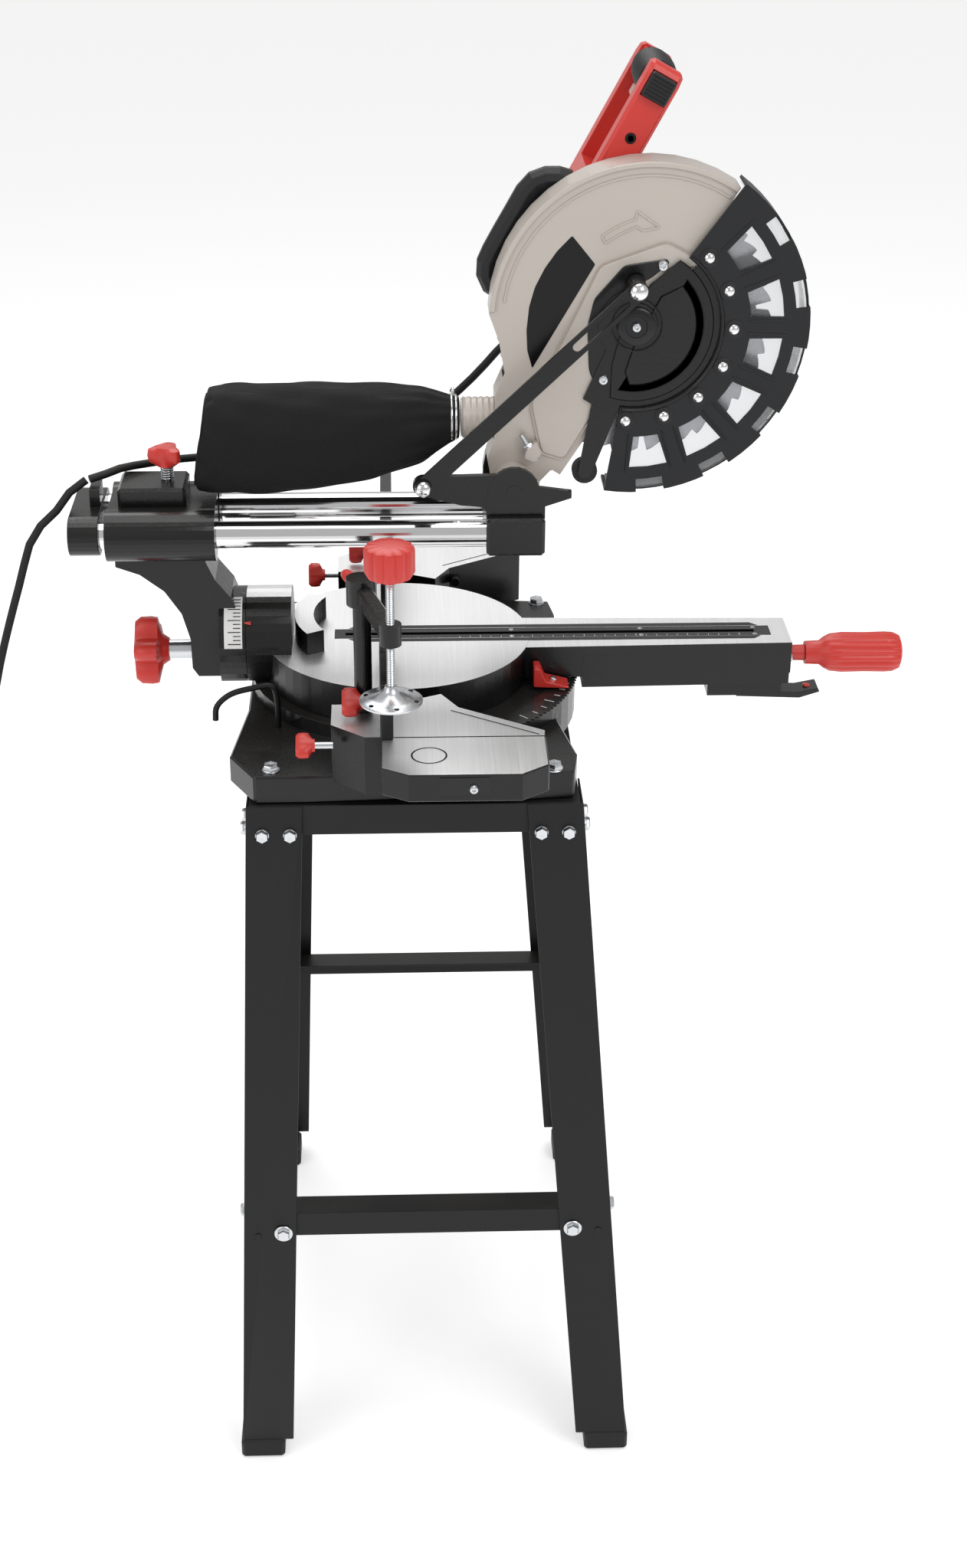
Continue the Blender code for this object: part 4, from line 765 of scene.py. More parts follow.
@dataclass
class Cords:
    """Lead on the saw, free cord with its stored coil, and the plug."""
    radius: float = 0.0038
    pitch: float = 0.0077
    rest: float = 0.0042
    coil_centre: tuple = (0.020, 0.560)
    lead: tuple = ((0.066, -0.1320, 1.0890), (0.066, -0.1180, 1.0770), (0.066, -0.1010, 1.0620),
                   (0.060, -0.0720, 1.0320), (0.055, -0.0350, 1.0020), (0.054, 0.0150, 0.9800),
                   (0.054, 0.0700, 0.9690), (0.054, 0.1300, 0.9620), (0.051, 0.1950, 0.9590),
                   (0.037, 0.2320, 0.9590), (0.017, 0.2570, 0.9610), (0.004, 0.2720, 0.9590),
                   (0.000, 0.2835, 0.9568))
    free: tuple = ((-0.0005, 0.2865, 0.9564), (-0.004, 0.2960, 0.9530), (-0.009, 0.3070, 0.9400),
                   (-0.016, 0.3180, 0.9270), (-0.022, 0.3290, 0.9190), (-0.027, 0.3400, 0.9020),
                   (-0.030, 0.3500, 0.8700), (-0.033, 0.3660, 0.8200), (-0.035, 0.3800, 0.7700),
                   (-0.036, 0.4080, 0.6500), (-0.036, 0.4280, 0.5000), (-0.035, 0.4400, 0.3600),
                   (-0.034, 0.4480, 0.2200), (-0.033, 0.4530, 0.1100), (-0.032, 0.4600, 0.0450),
                   (-0.031, 0.4760, 0.0125), (-0.0305, 0.4930, 0.0046), (-0.030, 0.5100, 0.0042),
                   (-0.030, 0.5300, 0.0042))

    def turns(self) -> np.ndarray:
        """Coil points: a flat spiral inwards, then outwards on top, leaving towards the plug."""
        turn = np.linspace(0, 4.25, 103)
        inward, climb = 2.25, 0.35
        radius = 0.0500 - self.pitch * np.minimum(turn, inward)
        radius = radius + self.pitch * np.maximum(turn - inward - climb, 0)
        ease = np.clip((turn - inward) / climb, 0, 1)
        height = self.rest + self.pitch * ease * ease * (3 - 2 * ease)
        angle = math.pi - TAU * turn
        cx, cy = self.coil_centre
        coil = np.stack([cx + radius * np.cos(angle), cy + radius * np.sin(angle), height], axis=1)
        leave = [(cx + 0.014, cy + 0.0461, 0.0122), (cx + 0.035, cy + 0.0480, 0.0138),
                 (cx + 0.056, cy + 0.0495, 0.0157), (cx + 0.0765, cy + 0.0500, 0.0168)]
        return np.vstack([coil, leave])

    def build(self) -> None:
        path = smooth_route(list(self.lead), 30)
        piece = dress(pipe("lead_on_the_saw", path, self.radius), RUBBER, None, "cord_lead")
        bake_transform(piece)
        free = np.vstack([smooth_route(list(self.free), 52)[:-1], self.turns()])
        piece = dress(pipe("mains_lead", free, self.radius), RUBBER, None, "cord_free", "cord_coil")
        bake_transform(piece)
        tail = [(0.0064, 0.0), (0.0068, 0.008), (0.0105, 0.012), (0.0150, 0.017), (0.0163, 0.022),
                (0.0166, 0.036), (0.0150, 0.0395), (0.0085, 0.0400)]
        seat = (self.coil_centre[0] + 0.075, self.coil_centre[1] + 0.050, 0.0168)
        plug = dress(lathe("mains_plug", tail, seat, FARWARD, 40, 12, 0.05, 0.6), RUBBER, "bevel_arm", "plug")
        for side in (-1, 1):
            pin = (seat[0] + 0.0395, seat[1] + side * 0.0095, seat[2])
            rows = [(0.0022, 0), (0.0024, 0.010), (0.0019, 0.0115)]
            dress(lathe(f"plug_pin_{side + 1}", rows, pin, FARWARD, 14), ZINC, "bevel_arm")
        relief = [(0.0070, 0.0), (0.0078, 0.003), (0.0070, 0.006), (0.0073, 0.010), (0.0060, 0.013),
                  (0.0062, 0.018), (0.0052, 0.022), (0.0050, 0.026), (0.0044, 0.029)]
        way = np.array(self.lead[1]) - self.lead[0]
        dress(lathe("strain_relief", relief, self.lead[0], tuple(way), 24), RUBBER, "head")

    @staticmethod
    def length(path: np.ndarray) -> float:
        """Length of a path in metres, rounded to the millimetre."""
        return round(float(np.linalg.norm(np.diff(path, axis=0), axis=1).sum()), 3)


@dataclass
class StandHardware:
    """Bolts of the stand, black plates painted as the shade inside its slotted holes, and the base casting's
    hold-down bolts.
    """
    height: float = 0.720
    top: tuple = (0.207, 0.138, -0.166)
    foot: tuple = (0.265, 0.167, -0.225)
    small: float = 0.0110
    large: float = 0.0112
    slot_z: float = 0.2640

    def corner(self, z: float) -> tuple:
        """Half length, rear y and front y of the legs' outer corners at a height."""
        drop = (self.height - z) / self.height
        return tuple(a + (b - a) * drop for a, b in zip(self.top, self.foot))

    def build(self) -> None:
        """Two bolts near the top of each leg face and one larger bolt at the lower rails."""
        rows = ((0.6925, (0.0150, 0.0400), self.small, 0.58), (0.2690, (0.0385,), self.large, 0.80))
        for sx, side in ((-1, "near"), (1, "far")):
            for sy, end in ((1, "rear"), (-1, "front")):
                for z, spots, size, washer in rows:
                    x, rear, front = self.corner(z)
                    y = rear if sy > 0 else front
                    for k, off in enumerate(spots):
                        stem = f"bolt_{side}_{end}_{int(z * 1000)}_{k}"
                        hex_bolt(stem + "a", (sx * x, y - sy * off, z), (sx, 0, 0), size, BASE, washer)
                        hex_bolt(stem + "b", (sx * (x - off), y, z), (0, sy, 0), size, BASE, washer)
                # Each slotted hole is a thin black plate on the leg face: painted shade standing in for the
                # dark inside of a hole that is not cut.
                x, rear, front = self.corner(self.slot_z)
                y = (rear if sy > 0 else front) - sy * 0.0140
                slot = np.array([(y + 0.0030 * math.cos(t), self.slot_z + rise + 0.0030 * math.sin(t))
                                 for first, rise in ((0.0, 0.0025), (math.pi, -0.0025))
                                 for t in np.linspace(first, first + math.pi, 9)])
                faces = sx * (x - 0.0004), sx * (x + 0.0006)
                dress(plate(f"slot_{side}_{end}", slot, *faces, 0.0002), PLAIN_BLACK_AND_HOLE_SHADE, BASE)
        for k, (x, y) in enumerate(((-0.188, 0.115), (-0.191, -0.140), (0.191, -0.146), (0.188, 0.115))):
            hex_bolt(f"base_bolt_{k}", (x, y, 0.7477), UP, 0.013, BASE)


@dataclass
class BaseDetails:
    """Mitre scale, pointer, table lines, kerf screws, locks and the grip at the front."""
    lock_y: float = 0.2115

    def build(self) -> None:
        """Make each detail in turn."""
        self.scale()
        self.pointer()
        self.kerf()
        self.grip()
        self.bevel_parts()
        self.locks()
        self.table_marks()

    def scale(self) -> None:
        """Dark scale band round the front of the base, with toothed edge and engraved ticks."""
        count = 257
        angle = np.radians(np.linspace(206, 334, count))
        tooth = np.where(np.arange(count) % 4 < 2, 0.0, 0.0022)
        ring = np.stack([np.cos(angle), np.sin(angle)], axis=1)
        outline = np.vstack([(0.1745 - tooth)[:, None] * ring, 0.150 * ring[::-1]])
        dress(plate("mitre_scale", outline, 0.7622, 0.7634, 0.0002, "Z"), GLOSS, BASE)
        for k, deg in enumerate(range(-45, 46, 5)):
            a = math.radians(270 + deg)
            u, v = np.array((math.cos(a), math.sin(a))), np.array((-math.sin(a), math.cos(a)))
            far, near = 0.169, 0.169 - (0.010 if deg % 15 == 0 else 0.006)
            half = v * 0.0004
            mark = [u * far + half, u * near + half, u * near - half, u * far - half]
            dress(plate(f"scale_tick_{k}", mark, 0.7633, 0.7637, 0.0001, "Z"), WHITE, BASE)

    def pointer(self) -> None:
        """Red pointer bracket beside the arm, above the scale."""
        side = rounded([(-0.1285, 0.7665), (-0.1285, 0.7850), (-0.1345, 0.7850), (-0.1400, 0.7720),
                        (-0.1620, 0.7665), (-0.1620, 0.7650)], 0.002, 4)
        dress(plate("mitre_pointer", side, -0.0585, -0.0375, 0.0006), RED, "turntable")
        screw_head("pointer_screw", (-0.048, -0.1475, 0.7700), (0, -0.3, 0.95), 0.0035, "turntable")

    def kerf(self) -> None:
        """Screws, borders and rule ticks of the kerf insert."""
        head = [(0.0022, -0.0006), (0.0022, 0.0001), (0.0012, 0.0002), (0.0009, -0.0003), (0.0001, -0.0003)]
        for k, y in enumerate((-0.345, -0.235, -0.110, 0.035)):
            for side in (-1, 1):
                screw = lathe(f"insert_screw_{k}_{side + 1}", head, (side * 0.0078, y, 0.7978), UP, 16)
                dress(screw, ZINC, "turntable")
        for side in (-1, 1):
            edge = [(side * x, y) for x, y in ((0.0122, -0.350), (0.0190, -0.343), (0.0190, 0.040),
                                               (0.0122, 0.047))]
            border = plate(f"insert_border_{side + 1}", edge, 0.7974, 0.7982, 0.0002, "Z")
            dress(border, CHARCOAL, "turntable")
        for k in range(28):
            y, x = -0.33 + k * 0.010, -0.0102
            end = x + (0.0045 if k % 5 == 0 else 0.0028)
            tick = [(x, y), (end, y), (end, y + 0.0005), (x, y + 0.0005)]
            dress(plate(f"rule_tick_{k}", tick, 0.7978, 0.7981, 0.0001, "Z"), WHITE, "turntable")

    def grip(self) -> None:
        """Ribbed red mitre grip on its neck, with the detent lever's red dot and screws."""
        rows = [(0.0075, -0.0360, 0), (0.0078, -0.0190, 0), (0.0112, -0.0180, 0), (0.0118, -0.0040, 0),
                (0.0150, 0.0, 0), (0.0182, 0.006, 0.6), (0.0196, 0.018, 1), (0.0192, 0.040, 1),
                (0.0197, 0.060, 1), (0.0192, 0.068, 0.8), (0.0165, 0.0740, 0.3), (0.0110, 0.0762, 0),
                (0.0100, 0.0750, 0)]
        ribbed = lathe("mitre_grip_ribbed", rows, (0, -0.4140, 0.774), FORWARD, 96, 16, 0.085, 0.55)
        dress(ribbed, RED, "mitre_grip", "mitre_grip")
        rod = lathe("mitre_lock_rod", [(0.0050, 0), (0.0050, 0.174)], (0, -0.3785, 0.774), REARWARD, 16)
        dress(rod, ZINC, "mitre_grip")
        dot = [(0.0042, 0), (0.0040, 0.0012), (0.0030, 0.0016)]
        dress(lathe("detent_dot", dot, (0, -0.4005, 0.7385), (0, -0.2, 0.98), 20), RED, "detent_lever")
        for side in (-1, 1):
            seat = (side * 0.0205, -0.3775, 0.7780)
            screw_head(f"arm_screw_{side + 1}", seat, FORWARD, 0.0042, "turntable")

    def bevel_parts(self) -> None:
        """Winged bevel knob, its pale scale plate with ticks, the red pointer and the wire stay."""
        rows = [(0.0110, -0.0060, 0), (0.0150, 0.0, 0), (0.0330, 0.004, 1), (0.0340, 0.010, 1),
                (0.0335, 0.020, 1), (0.0290, 0.0255, 1), (0.0150, 0.0270, 0.3), (0.0100, 0.0262, 0)]
        winged = lathe("bevel_knob_winged", rows, (0, 0.2250, 0.784), REARWARD, 80, 5, 0.40, 0.8)
        dress(winged, RED, "bevel_knob", "bevel_knob")
        shaft = lathe("bevel_knob_shaft", [(0.0093, 0.0), (0.0093, 0.024)], (0, 0.1962, 0.784), REARWARD, 24)
        dress(shaft, ZINC, "bevel_knob")
        angle = np.radians(np.linspace(108, 172, 24))
        over, under = (np.stack([r * np.cos(angle), angle * 0, BEVEL_Z + r * np.sin(angle)], axis=1)
                       for r in (0.0482, 0.0474))
        section = np.vstack([over, under[::-1]])
        rings = np.stack([section + (0, y, 0) for y in (0.1460, 0.1630)])
        dress(skin("bevel_scale_plate", rings), WHITE, "bevel_arm")
        low, high = 0.0481, 0.0486
        for k, a in enumerate(np.radians(np.linspace(113, 167, 13))):
            tick = [(math.cos(a + s) * r, BEVEL_Z + math.sin(a + s) * r)
                    for s, r in ((-0.008, low), (0.008, low), (0.008, high), (-0.008, high))]
            long = 0.012 if k % 3 == 0 else 0.007
            dress(plate(f"bevel_tick_{k}", tick, 0.1475, 0.1475 + long, 0.0001, "Y"), PLAIN_BLACK_AND_HOLE_SHADE, "bevel_arm")
        tip = [(-0.0430, 0.1375), (-0.0370, 0.1375), (-0.0400, 0.1435)]
        dress(plate("bevel_pointer", tip, 0.8268, 0.8285, 0.0003, "Z"), RED, "turntable")
        stay = smooth_route([(-0.100, 0.170, 0.7560), (-0.100, 0.168, 0.7700), (-0.100, 0.155, 0.7820),
                             (-0.100, 0.135, 0.7880), (-0.100, 0.117, 0.7900), (-0.100, 0.112, 0.7750),
                             (-0.100, 0.112, 0.7470)], 40)
        dress(pipe("wire_stay", stay, 0.0028), SATIN, BASE)

    def locks(self) -> None:
        """Slide lock knob with its rod and spring, and the wing knobs of fences and extensions."""
        y = self.lock_y
        rod = lathe("slide_lock_threaded_rod", [(0.0037, 0.0), (0.0037, 0.014)], (0, y, 0.9563), UP, 16)
        dress(rod, ZINC, "slide_lock_knob")
        turn = np.linspace(0, 5 * TAU, 90)
        rise = 0.9572 + 0.0115 * turn / turn[-1]
        coil = np.stack([0.0055 * np.cos(turn), y + 0.0055 * np.sin(turn), rise], axis=1)
        dress(pipe("slide_lock_spring", coil, 0.0007, 8), ZINC, "slide_lock_knob")
        rows = [(0.0085, 0, 0), (0.0115, 0.002, 0.6), (0.0165, 0.0055, 1), (0.0175, 0.011, 1),
                (0.0165, 0.0165, 1), (0.0110, 0.0185, 0.5), (0.0060, 0.0180, 0)]
        wings = lathe("slide_lock_wings", rows, (0, y, 0.9700), UP, 72, 3, 0.50, 1.1, 75)
        dress(wings, RED, "slide_lock_knob", "slide_lock_knob")
        for name, seat, size, turn in (("fence_lock_near", (-0.185, 0.0165, 0.8130), 0.0145, 55),
                                       ("extension_lock_near", (-0.212, 0.0600, 0.7840), 0.0125, 55),
                                       ("fence_lock_far", (0.180, 0.0165, 0.8130), 0.0135, 20),
                                       ("extension_lock_far", (0.180, 0.0600, 0.7860), 0.0125, 20)):
            wing_knob(name, seat, REARWARD, 0.014, size, BASE, turn)

    def table_marks(self) -> None:
        """A line on each fixed table, a pad and screw on each extension, and a plain round mark."""
        for side in (-1, 1):
            line = [(side * x, y) for x, y in ((0.172, -0.047), (0.1735, -0.047), (0.2235, -0.1235),
                                               (0.2222, -0.1235))]
            dress(plate(f"table_line_{side + 1}", line, TABLE_Z, 0.79825, 0.0001, "Z"), PLAIN_BLACK_AND_HOLE_SHADE, BASE)
        rear, front, low, high = -0.0340, -0.0785, 0.7780, 0.7955
        pad = rounded([(rear, low), (rear, high), (front, high), (front, low)], 0.0015, 3)
        for side, body in ((-1, "extension_near"), (1, "extension_far")):
            dress(plate(f"side_pad_{body}", pad, side * 0.2988, side * 0.3003, 0.0004), GLOSS, body)
            screw_head(f"side_screw_{body}", (side * 0.3002, -0.0635, 0.7850), (side, 0, 0), 0.0042, body)
        turn = full_turn(40)
        ring = np.stack([np.cos(turn), np.sin(turn), turn * 0], axis=1) * 0.0150 + (-0.262, -0.026, 0.7981)
        dress(pipe("table_round_mark", ring, 0.0008, 8, flat=0.25, cyclic=True), PLAIN_BLACK_AND_HOLE_SHADE, "extension_near")


@dataclass
class BladeDisc:
    """Toothed blade: radius falls back behind each tip, and slots relieve the rim."""
    radius: float = 0.1248
    teeth: int = 48
    thick: float = 0.0022

    def build(self) -> None:
        """Rim profile by angle as a saw-tooth wave, then the body as rings down to the bore."""
        per = 8
        count = self.teeth * per
        angle = full_turn(count)
        phase = (np.arange(count) % per) / per
        rim = self.radius - 0.0055 * np.clip(phase * 1.25, 0, 1) ** 1.5
        slot = (np.arange(count) // per) % 12 == 0
        rim = np.where(slot & (phase > 0.55) & (phase < 0.9), self.radius - 0.014, rim)
        radii = [np.full(count, r) for r in (0.0151, 0.045, 0.105)] + [rim]
        half = self.thick / 2
        y, z = BLADE
        rings = [np.stack([np.full(count, x), y - r * np.cos(angle), z + r * np.sin(angle)], axis=1)
                 for x, order in ((-half, radii), (half, radii[::-1])) for r in order]
        disc = skin("toothed_blade", np.array(rings), caps=False, smooth=30)
        dress(disc, BLADE_STEEL, "arbor", "saw_blade")


class GuardDetails:
    """Raised rims, arrow, plates, rivets, boss and dust port of the two guards."""

    def build(self) -> None:
        """Make each detail in turn."""
        self.upper()
        self.lower()
        self.link()
        self.neck()

    def band(self, name: str, low: float, high: float, start: float, end: float, x0: float, x1: float,
             body: str, finish: Finish, centre: tuple = BLADE) -> None:
        """A flat band between two radii.

        Args:
            name: Name of the piece.
            low: Inner radius.
            high: Outer radius.
            start: First angle in degrees, forward is 0.
            end: Last angle.
            x0: One face.
            x1: Other face.
            body: Body it rides on.
            finish: Its finish.
            centre: Centre (y, z).
        """
        outline = np.vstack([fan(high, start, end, 40, centre), fan(low, end, start, 40, centre)])
        dress(plate(name, outline, x0, x1, 0.0008), finish, body)

    def upper(self) -> None:
        """Rim lips, hollow arrow and black segment panel on the fixed guard."""
        rim = (-0.2275, 1.108)
        self.band("guard_rim_lip", 0.1375, 0.1424, 57, 176, -0.0162, -0.0192, "head", GUARD, rim)
        self.band("guard_rim_line", 0.1290, 0.1315, 58, 172, -0.0162, -0.0178, "head", GUARD, rim)
        panel = [(-0.1581, 1.1857), (-0.1792, 1.1602), (-0.1247, 1.0655), (-0.1200, 1.0820),
                 (-0.1190, 1.1010), (-0.1210, 1.1220), (-0.1260, 1.1400), (-0.1345, 1.1570),
                 (-0.1450, 1.1720)]
        panel = rounded(panel, 0.0015, 3)
        dress(plate("plain_segment_panel", panel, -0.0162, -0.0170, 0.0003), PLAIN_BLACK_AND_HOLE_SHADE, "head")
        raised = [(-0.1830, 1.1600), (-0.2421, 1.1810), (-0.2750, 1.1640), (-0.2700, 1.1560),
                  (-0.2440, 1.1560), (-0.2100, 1.0700), (-0.1560, 0.9780), (-0.1330, 0.9850),
                  (-0.1225, 1.0330), (-0.1515, 1.0925)]
        dress(plate("raised_hub_facet", rounded(raised, 0.006, 4), -0.0160, -0.0188, 0.0026), GUARD, "head")
        arrow = [(-0.1844, 1.1856), (-0.1950, 1.1925), (-0.2060, 1.1975), (-0.2137, 1.2000),
                 (-0.2148, 1.2074), (-0.2350, 1.1930), (-0.2204, 1.1897), (-0.2150, 1.1935),
                 (-0.2080, 1.1905), (-0.1980, 1.1855), (-0.1872, 1.1790)]
        path = np.array([(-0.0170, y, z) for y, z in rounded(arrow, 0.0012, 3)])
        dress(pipe("direction_arrow", path, 0.0009, 8, cyclic=True), GUARD, "head")

    def lower(self) -> None:
        """Rivets, ribs, hub plates, cover and return spring of the swinging guard."""
        lug = [(0.0085, 0), (0.0085, 0.0007), (0.0072, 0.0013), (0.0001, 0.0013)]
        dome = [(0.0046, 0), (0.0046, 0.0008), (0.0034, 0.0022), (0.0012, 0.0028), (0.0001, 0.0028)]
        for k in range(7):
            spot = fan(0.0880, 44.6 - 23.2 * k, 0, 1)[0]
            dress(lathe(f"rivet_lug_{k}", lug, (-0.0251, *spot), NEARWARD, 28), CHARCOAL, "lower_guard")
            dress(lathe(f"guard_rivet_{k}", dome, (-0.0263, *spot), NEARWARD, 24), CHROME, "lower_guard")
        for k in range(6):
            mid = 34.7 - 23.6 * k
            for end, side in (("a", -1), ("b", 1)):
                rib = np.array([(-0.0252, *fan(radius, mid + side * off, 0, 1)[0])
                                for radius, off in ((0.1010, 8.6), (0.1370, 8.9))])
                dress(pipe(f"spoke_rib_{k}{end}", rib, 0.0009, 8), CHARCOAL, "lower_guard")
        self.band("guard_inner_ring", 0.0762, 0.0795, -98, 53, -0.0250, -0.0266, "lower_guard", GLOSS)
        disc = np.vstack([fan(0.0700, -108, 58, 50),
                          [(-0.2290, 1.1440), (-0.2060, 1.1120), (-0.1960, 1.0700)]])
        dress(plate("hub_disc", disc, -0.0216, -0.0232, 0.0010), GLOSS, "lower_guard")
        dee = np.vstack([fan(0.0545, -95, 42, 40), [(-0.2380, 1.1330), (-0.2160, 1.0900), (-0.2080, 1.0640)]])
        dress(plate("hub_raised_plate", dee, -0.0230, -0.0246, 0.0012), GLOSS, "lower_guard")
        self.band("hub_disc_line", 0.0600, 0.0612, -104, 44, -0.0231, -0.0240, "lower_guard", CHARCOAL)
        cover = [(-0.1735, 1.1050), (-0.1790, 1.1300), (-0.2049, 1.1600), (-0.2427, 1.1655),
                 (-0.2450, 1.1620), (-0.2300, 1.1490), (-0.2080, 1.1380), (-0.2000, 1.0700),
                 (-0.1960, 1.0480), (-0.1830, 1.0480), (-0.1760, 1.0640)]
        dress(plate("arbor_cover", rounded(cover, 0.004, 4), -0.0165, -0.0205, 0.0008), GLOSS, "head")
        for k, (y, z) in enumerate(((-0.2390, 1.1600), (-0.1890, 1.0560))):
            screw_head(f"cover_screw_{k}", (-0.0204, y, z), NEARWARD, 0.0048, "head")
        rows = [(0.0172, 0), (0.0172, 0.0018), (0.0160, 0.0026), (0.0100, 0.0028), (0.0095, 0.0020),
                (0.0060, 0.0020)]
        dress(lathe("spindle_disc", rows, (-0.0242, *BLADE), NEARWARD, 36), GLOSS, "lower_guard")
        screw_head("spindle_screw", (-0.0262, *BLADE), NEARWARD, 0.0045, "lower_guard")
        spin = np.linspace(0, 1.2 * TAU, 50)
        reach = 0.0195 + 0.0006 * spin
        coil = np.stack([-0.0262 - 0.0012 * spin / spin[-1], BLADE[0] - reach * np.cos(spin),
                         BLADE[1] + reach * np.sin(spin)], axis=1)
        dress(pipe("guard_return_spring", coil, 0.0005, 8), GLOSS, "lower_guard")

    def link(self) -> None:
        """Domed studs at both ends of the link bar."""
        shares = ((1, 0), (1, 0.0012), (0.75, 0.0036), (0.3, 0.0050), (0.05, 0.0052))
        for end, spot, radius in (("top", LINK_TOP, 0.0078), ("low", LINK_LOW, 0.0074)):
            rows = [(share * radius, t) for share, t in shares]
            dress(lathe(f"link_stud_{end}", rows, (-0.0534, *spot), NEARWARD, 28), CHROME, "link_bar")

    def neck(self) -> None:
        """Depth-stop bracket with its bolt and thread, and the ribbed dust port."""
        tab = rounded([(-0.1200, 0.9920), (-0.1290, 0.9990), (-0.1345, 0.9880), (-0.1270, 0.9790),
                       (-0.1180, 0.9830)], 0.002, 4)
        dress(plate("depth_stop_bracket", tab, -0.0186, -0.0270, 0.0008), GUARD, "head")
        seat, way = (-0.0228, -0.1225, 0.9930), (0, 0.50, 0.86)
        hex_bolt("depth_stop_bolt", seat, way, 0.0080, "head")
        dress(lathe("depth_stop_thread", [(0.0024, -0.014), (0.0024, 0.014)], seat, way, 14), ZINC, "head")
        rows = [(0.0181 + 0.0010 * (0.5 + 0.5 * math.cos(5 * TAU * t)), 0.002 + 0.028 * t)
                for t in np.linspace(0, 1, 33)]
        rows = [(0.0176, 0.0015), *rows, (0.0176, 0.0310)]
        dress(lathe("dust_port_ribs", rows, (0.0015, -0.0925, 1.0140), REARWARD, 40), GUARD, "head")


@dataclass
class HandleDetails:
    """Ribbed dark grip, the yoke's screws and the lock button's ribs."""
    centre: tuple = (-0.235, 1.3085)
    rake: float = 61.5

    def point(self, x: float, u: float, o: float) -> tuple:
        """A point of the handle's frame: u towards the bar, o out of its front face."""
        c, s = math.cos(math.radians(self.rake)), math.sin(math.radians(self.rake))
        return x, self.centre[0] - c * u - s * o, self.centre[1] + s * u - c * o

    def build(self) -> None:
        """Grip sleeve as a lofted oval whose radius waves along it, and small fittings."""
        t = np.linspace(0, 1, 60)
        x = 0.0392 + t * 0.0696
        swell = 0.0166 + 0.0022 * np.sin(math.pi * t) + 0.0005 * np.sin(13 * TAU * t)
        swell[[0, -1]] = 0.0150
        path = np.stack([x, np.full(60, self.centre[0]), np.full(60, self.centre[1])], axis=1)
        dress(pipe("grip_sleeve", path, swell, 40), CHARCOAL, "head", "handle_grip")
        for k in range(7):
            rib = np.array([self.point(0.0122, -0.0135 + 0.0033 * k, out) for out in (-0.0105, 0.0105)])
            dress(pipe(f"button_rib_{k}", rib, 0.0009, 10), CHARCOAL, "lock_button")
        head = [(0.0050, 0), (0.0046, 0.0008), (0.0028, 0.0009), (0.0024, -0.001), (0.0001, -0.001)]
        for k, u in enumerate((-0.052, -0.112)):
            dress(lathe(f"yoke_screw_{k}", head, self.point(0.0180, u, 0), NEARWARD, 20), PLAIN_BLACK_AND_HOLE_SHADE, "head")


@dataclass
class MotorDetails:
    """Seam bands, raised vents, brush caps, screws and end rings of the motor housing."""
    axis: tuple = (-0.1848, 1.1382)

    def out(self, x: float, degrees: float, radius: float) -> tuple:
        """A point at a radius from the motor's axis."""
        a = math.radians(degrees)
        return x, self.axis[0] + radius * math.cos(a), self.axis[1] + radius * math.sin(a)

    def build(self) -> None:
        """Make each row of details round the motor's axis."""
        rows = [(0.0470, -0.0020), (0.0484, -0.0012), (0.0484, 0.0012), (0.0470, 0.0020)]
        for k, x in enumerate((0.0640, 0.0860, 0.1560, 0.1935)):
            dress(lathe(f"motor_band_{k}", rows, (x, *self.axis), FARWARD, 56), CHARCOAL, "head")
        for k, deg in enumerate(range(0, 360, 15)):
            path = np.array([self.out(x, deg, 0.0472) for x in (0.1600, 0.1890)])
            dress(pipe(f"motor_vent_{k}", path, 0.0016, 10), CHARCOAL, "head")
        rows = [(0.0095, 0), (0.0095, 0.0040), (0.0080, 0.0055), (0.0030, 0.0055), (0.0028, 0.0035)]
        for k, deg in enumerate((35, 215)):
            way = (0.0, math.cos(math.radians(deg)), math.sin(math.radians(deg)))
            dress(lathe(f"brush_cap_{k}", rows, self.out(0.1400, deg, 0.0460), way, 28), CHARCOAL, "head")
        for k, deg in enumerate((45, 135, 225, 315)):
            screw_head(f"motor_screw_{k}", self.out(0.2125, deg, 0.0240), FARWARD, 0.0034, "head")
        shape = ((0.0060, -0.0008), (0.0060, 0), (0.0072, 0.0012), (0.0084, 0), (0.0084, -0.0008))
        for k in range(5):
            rows = [(r + 0.0045 * k, t) for r, t in shape]
            dress(lathe(f"motor_cap_ring_{k}", rows, (0.2132, *self.axis), FARWARD, 48), CHARCOAL, "head")


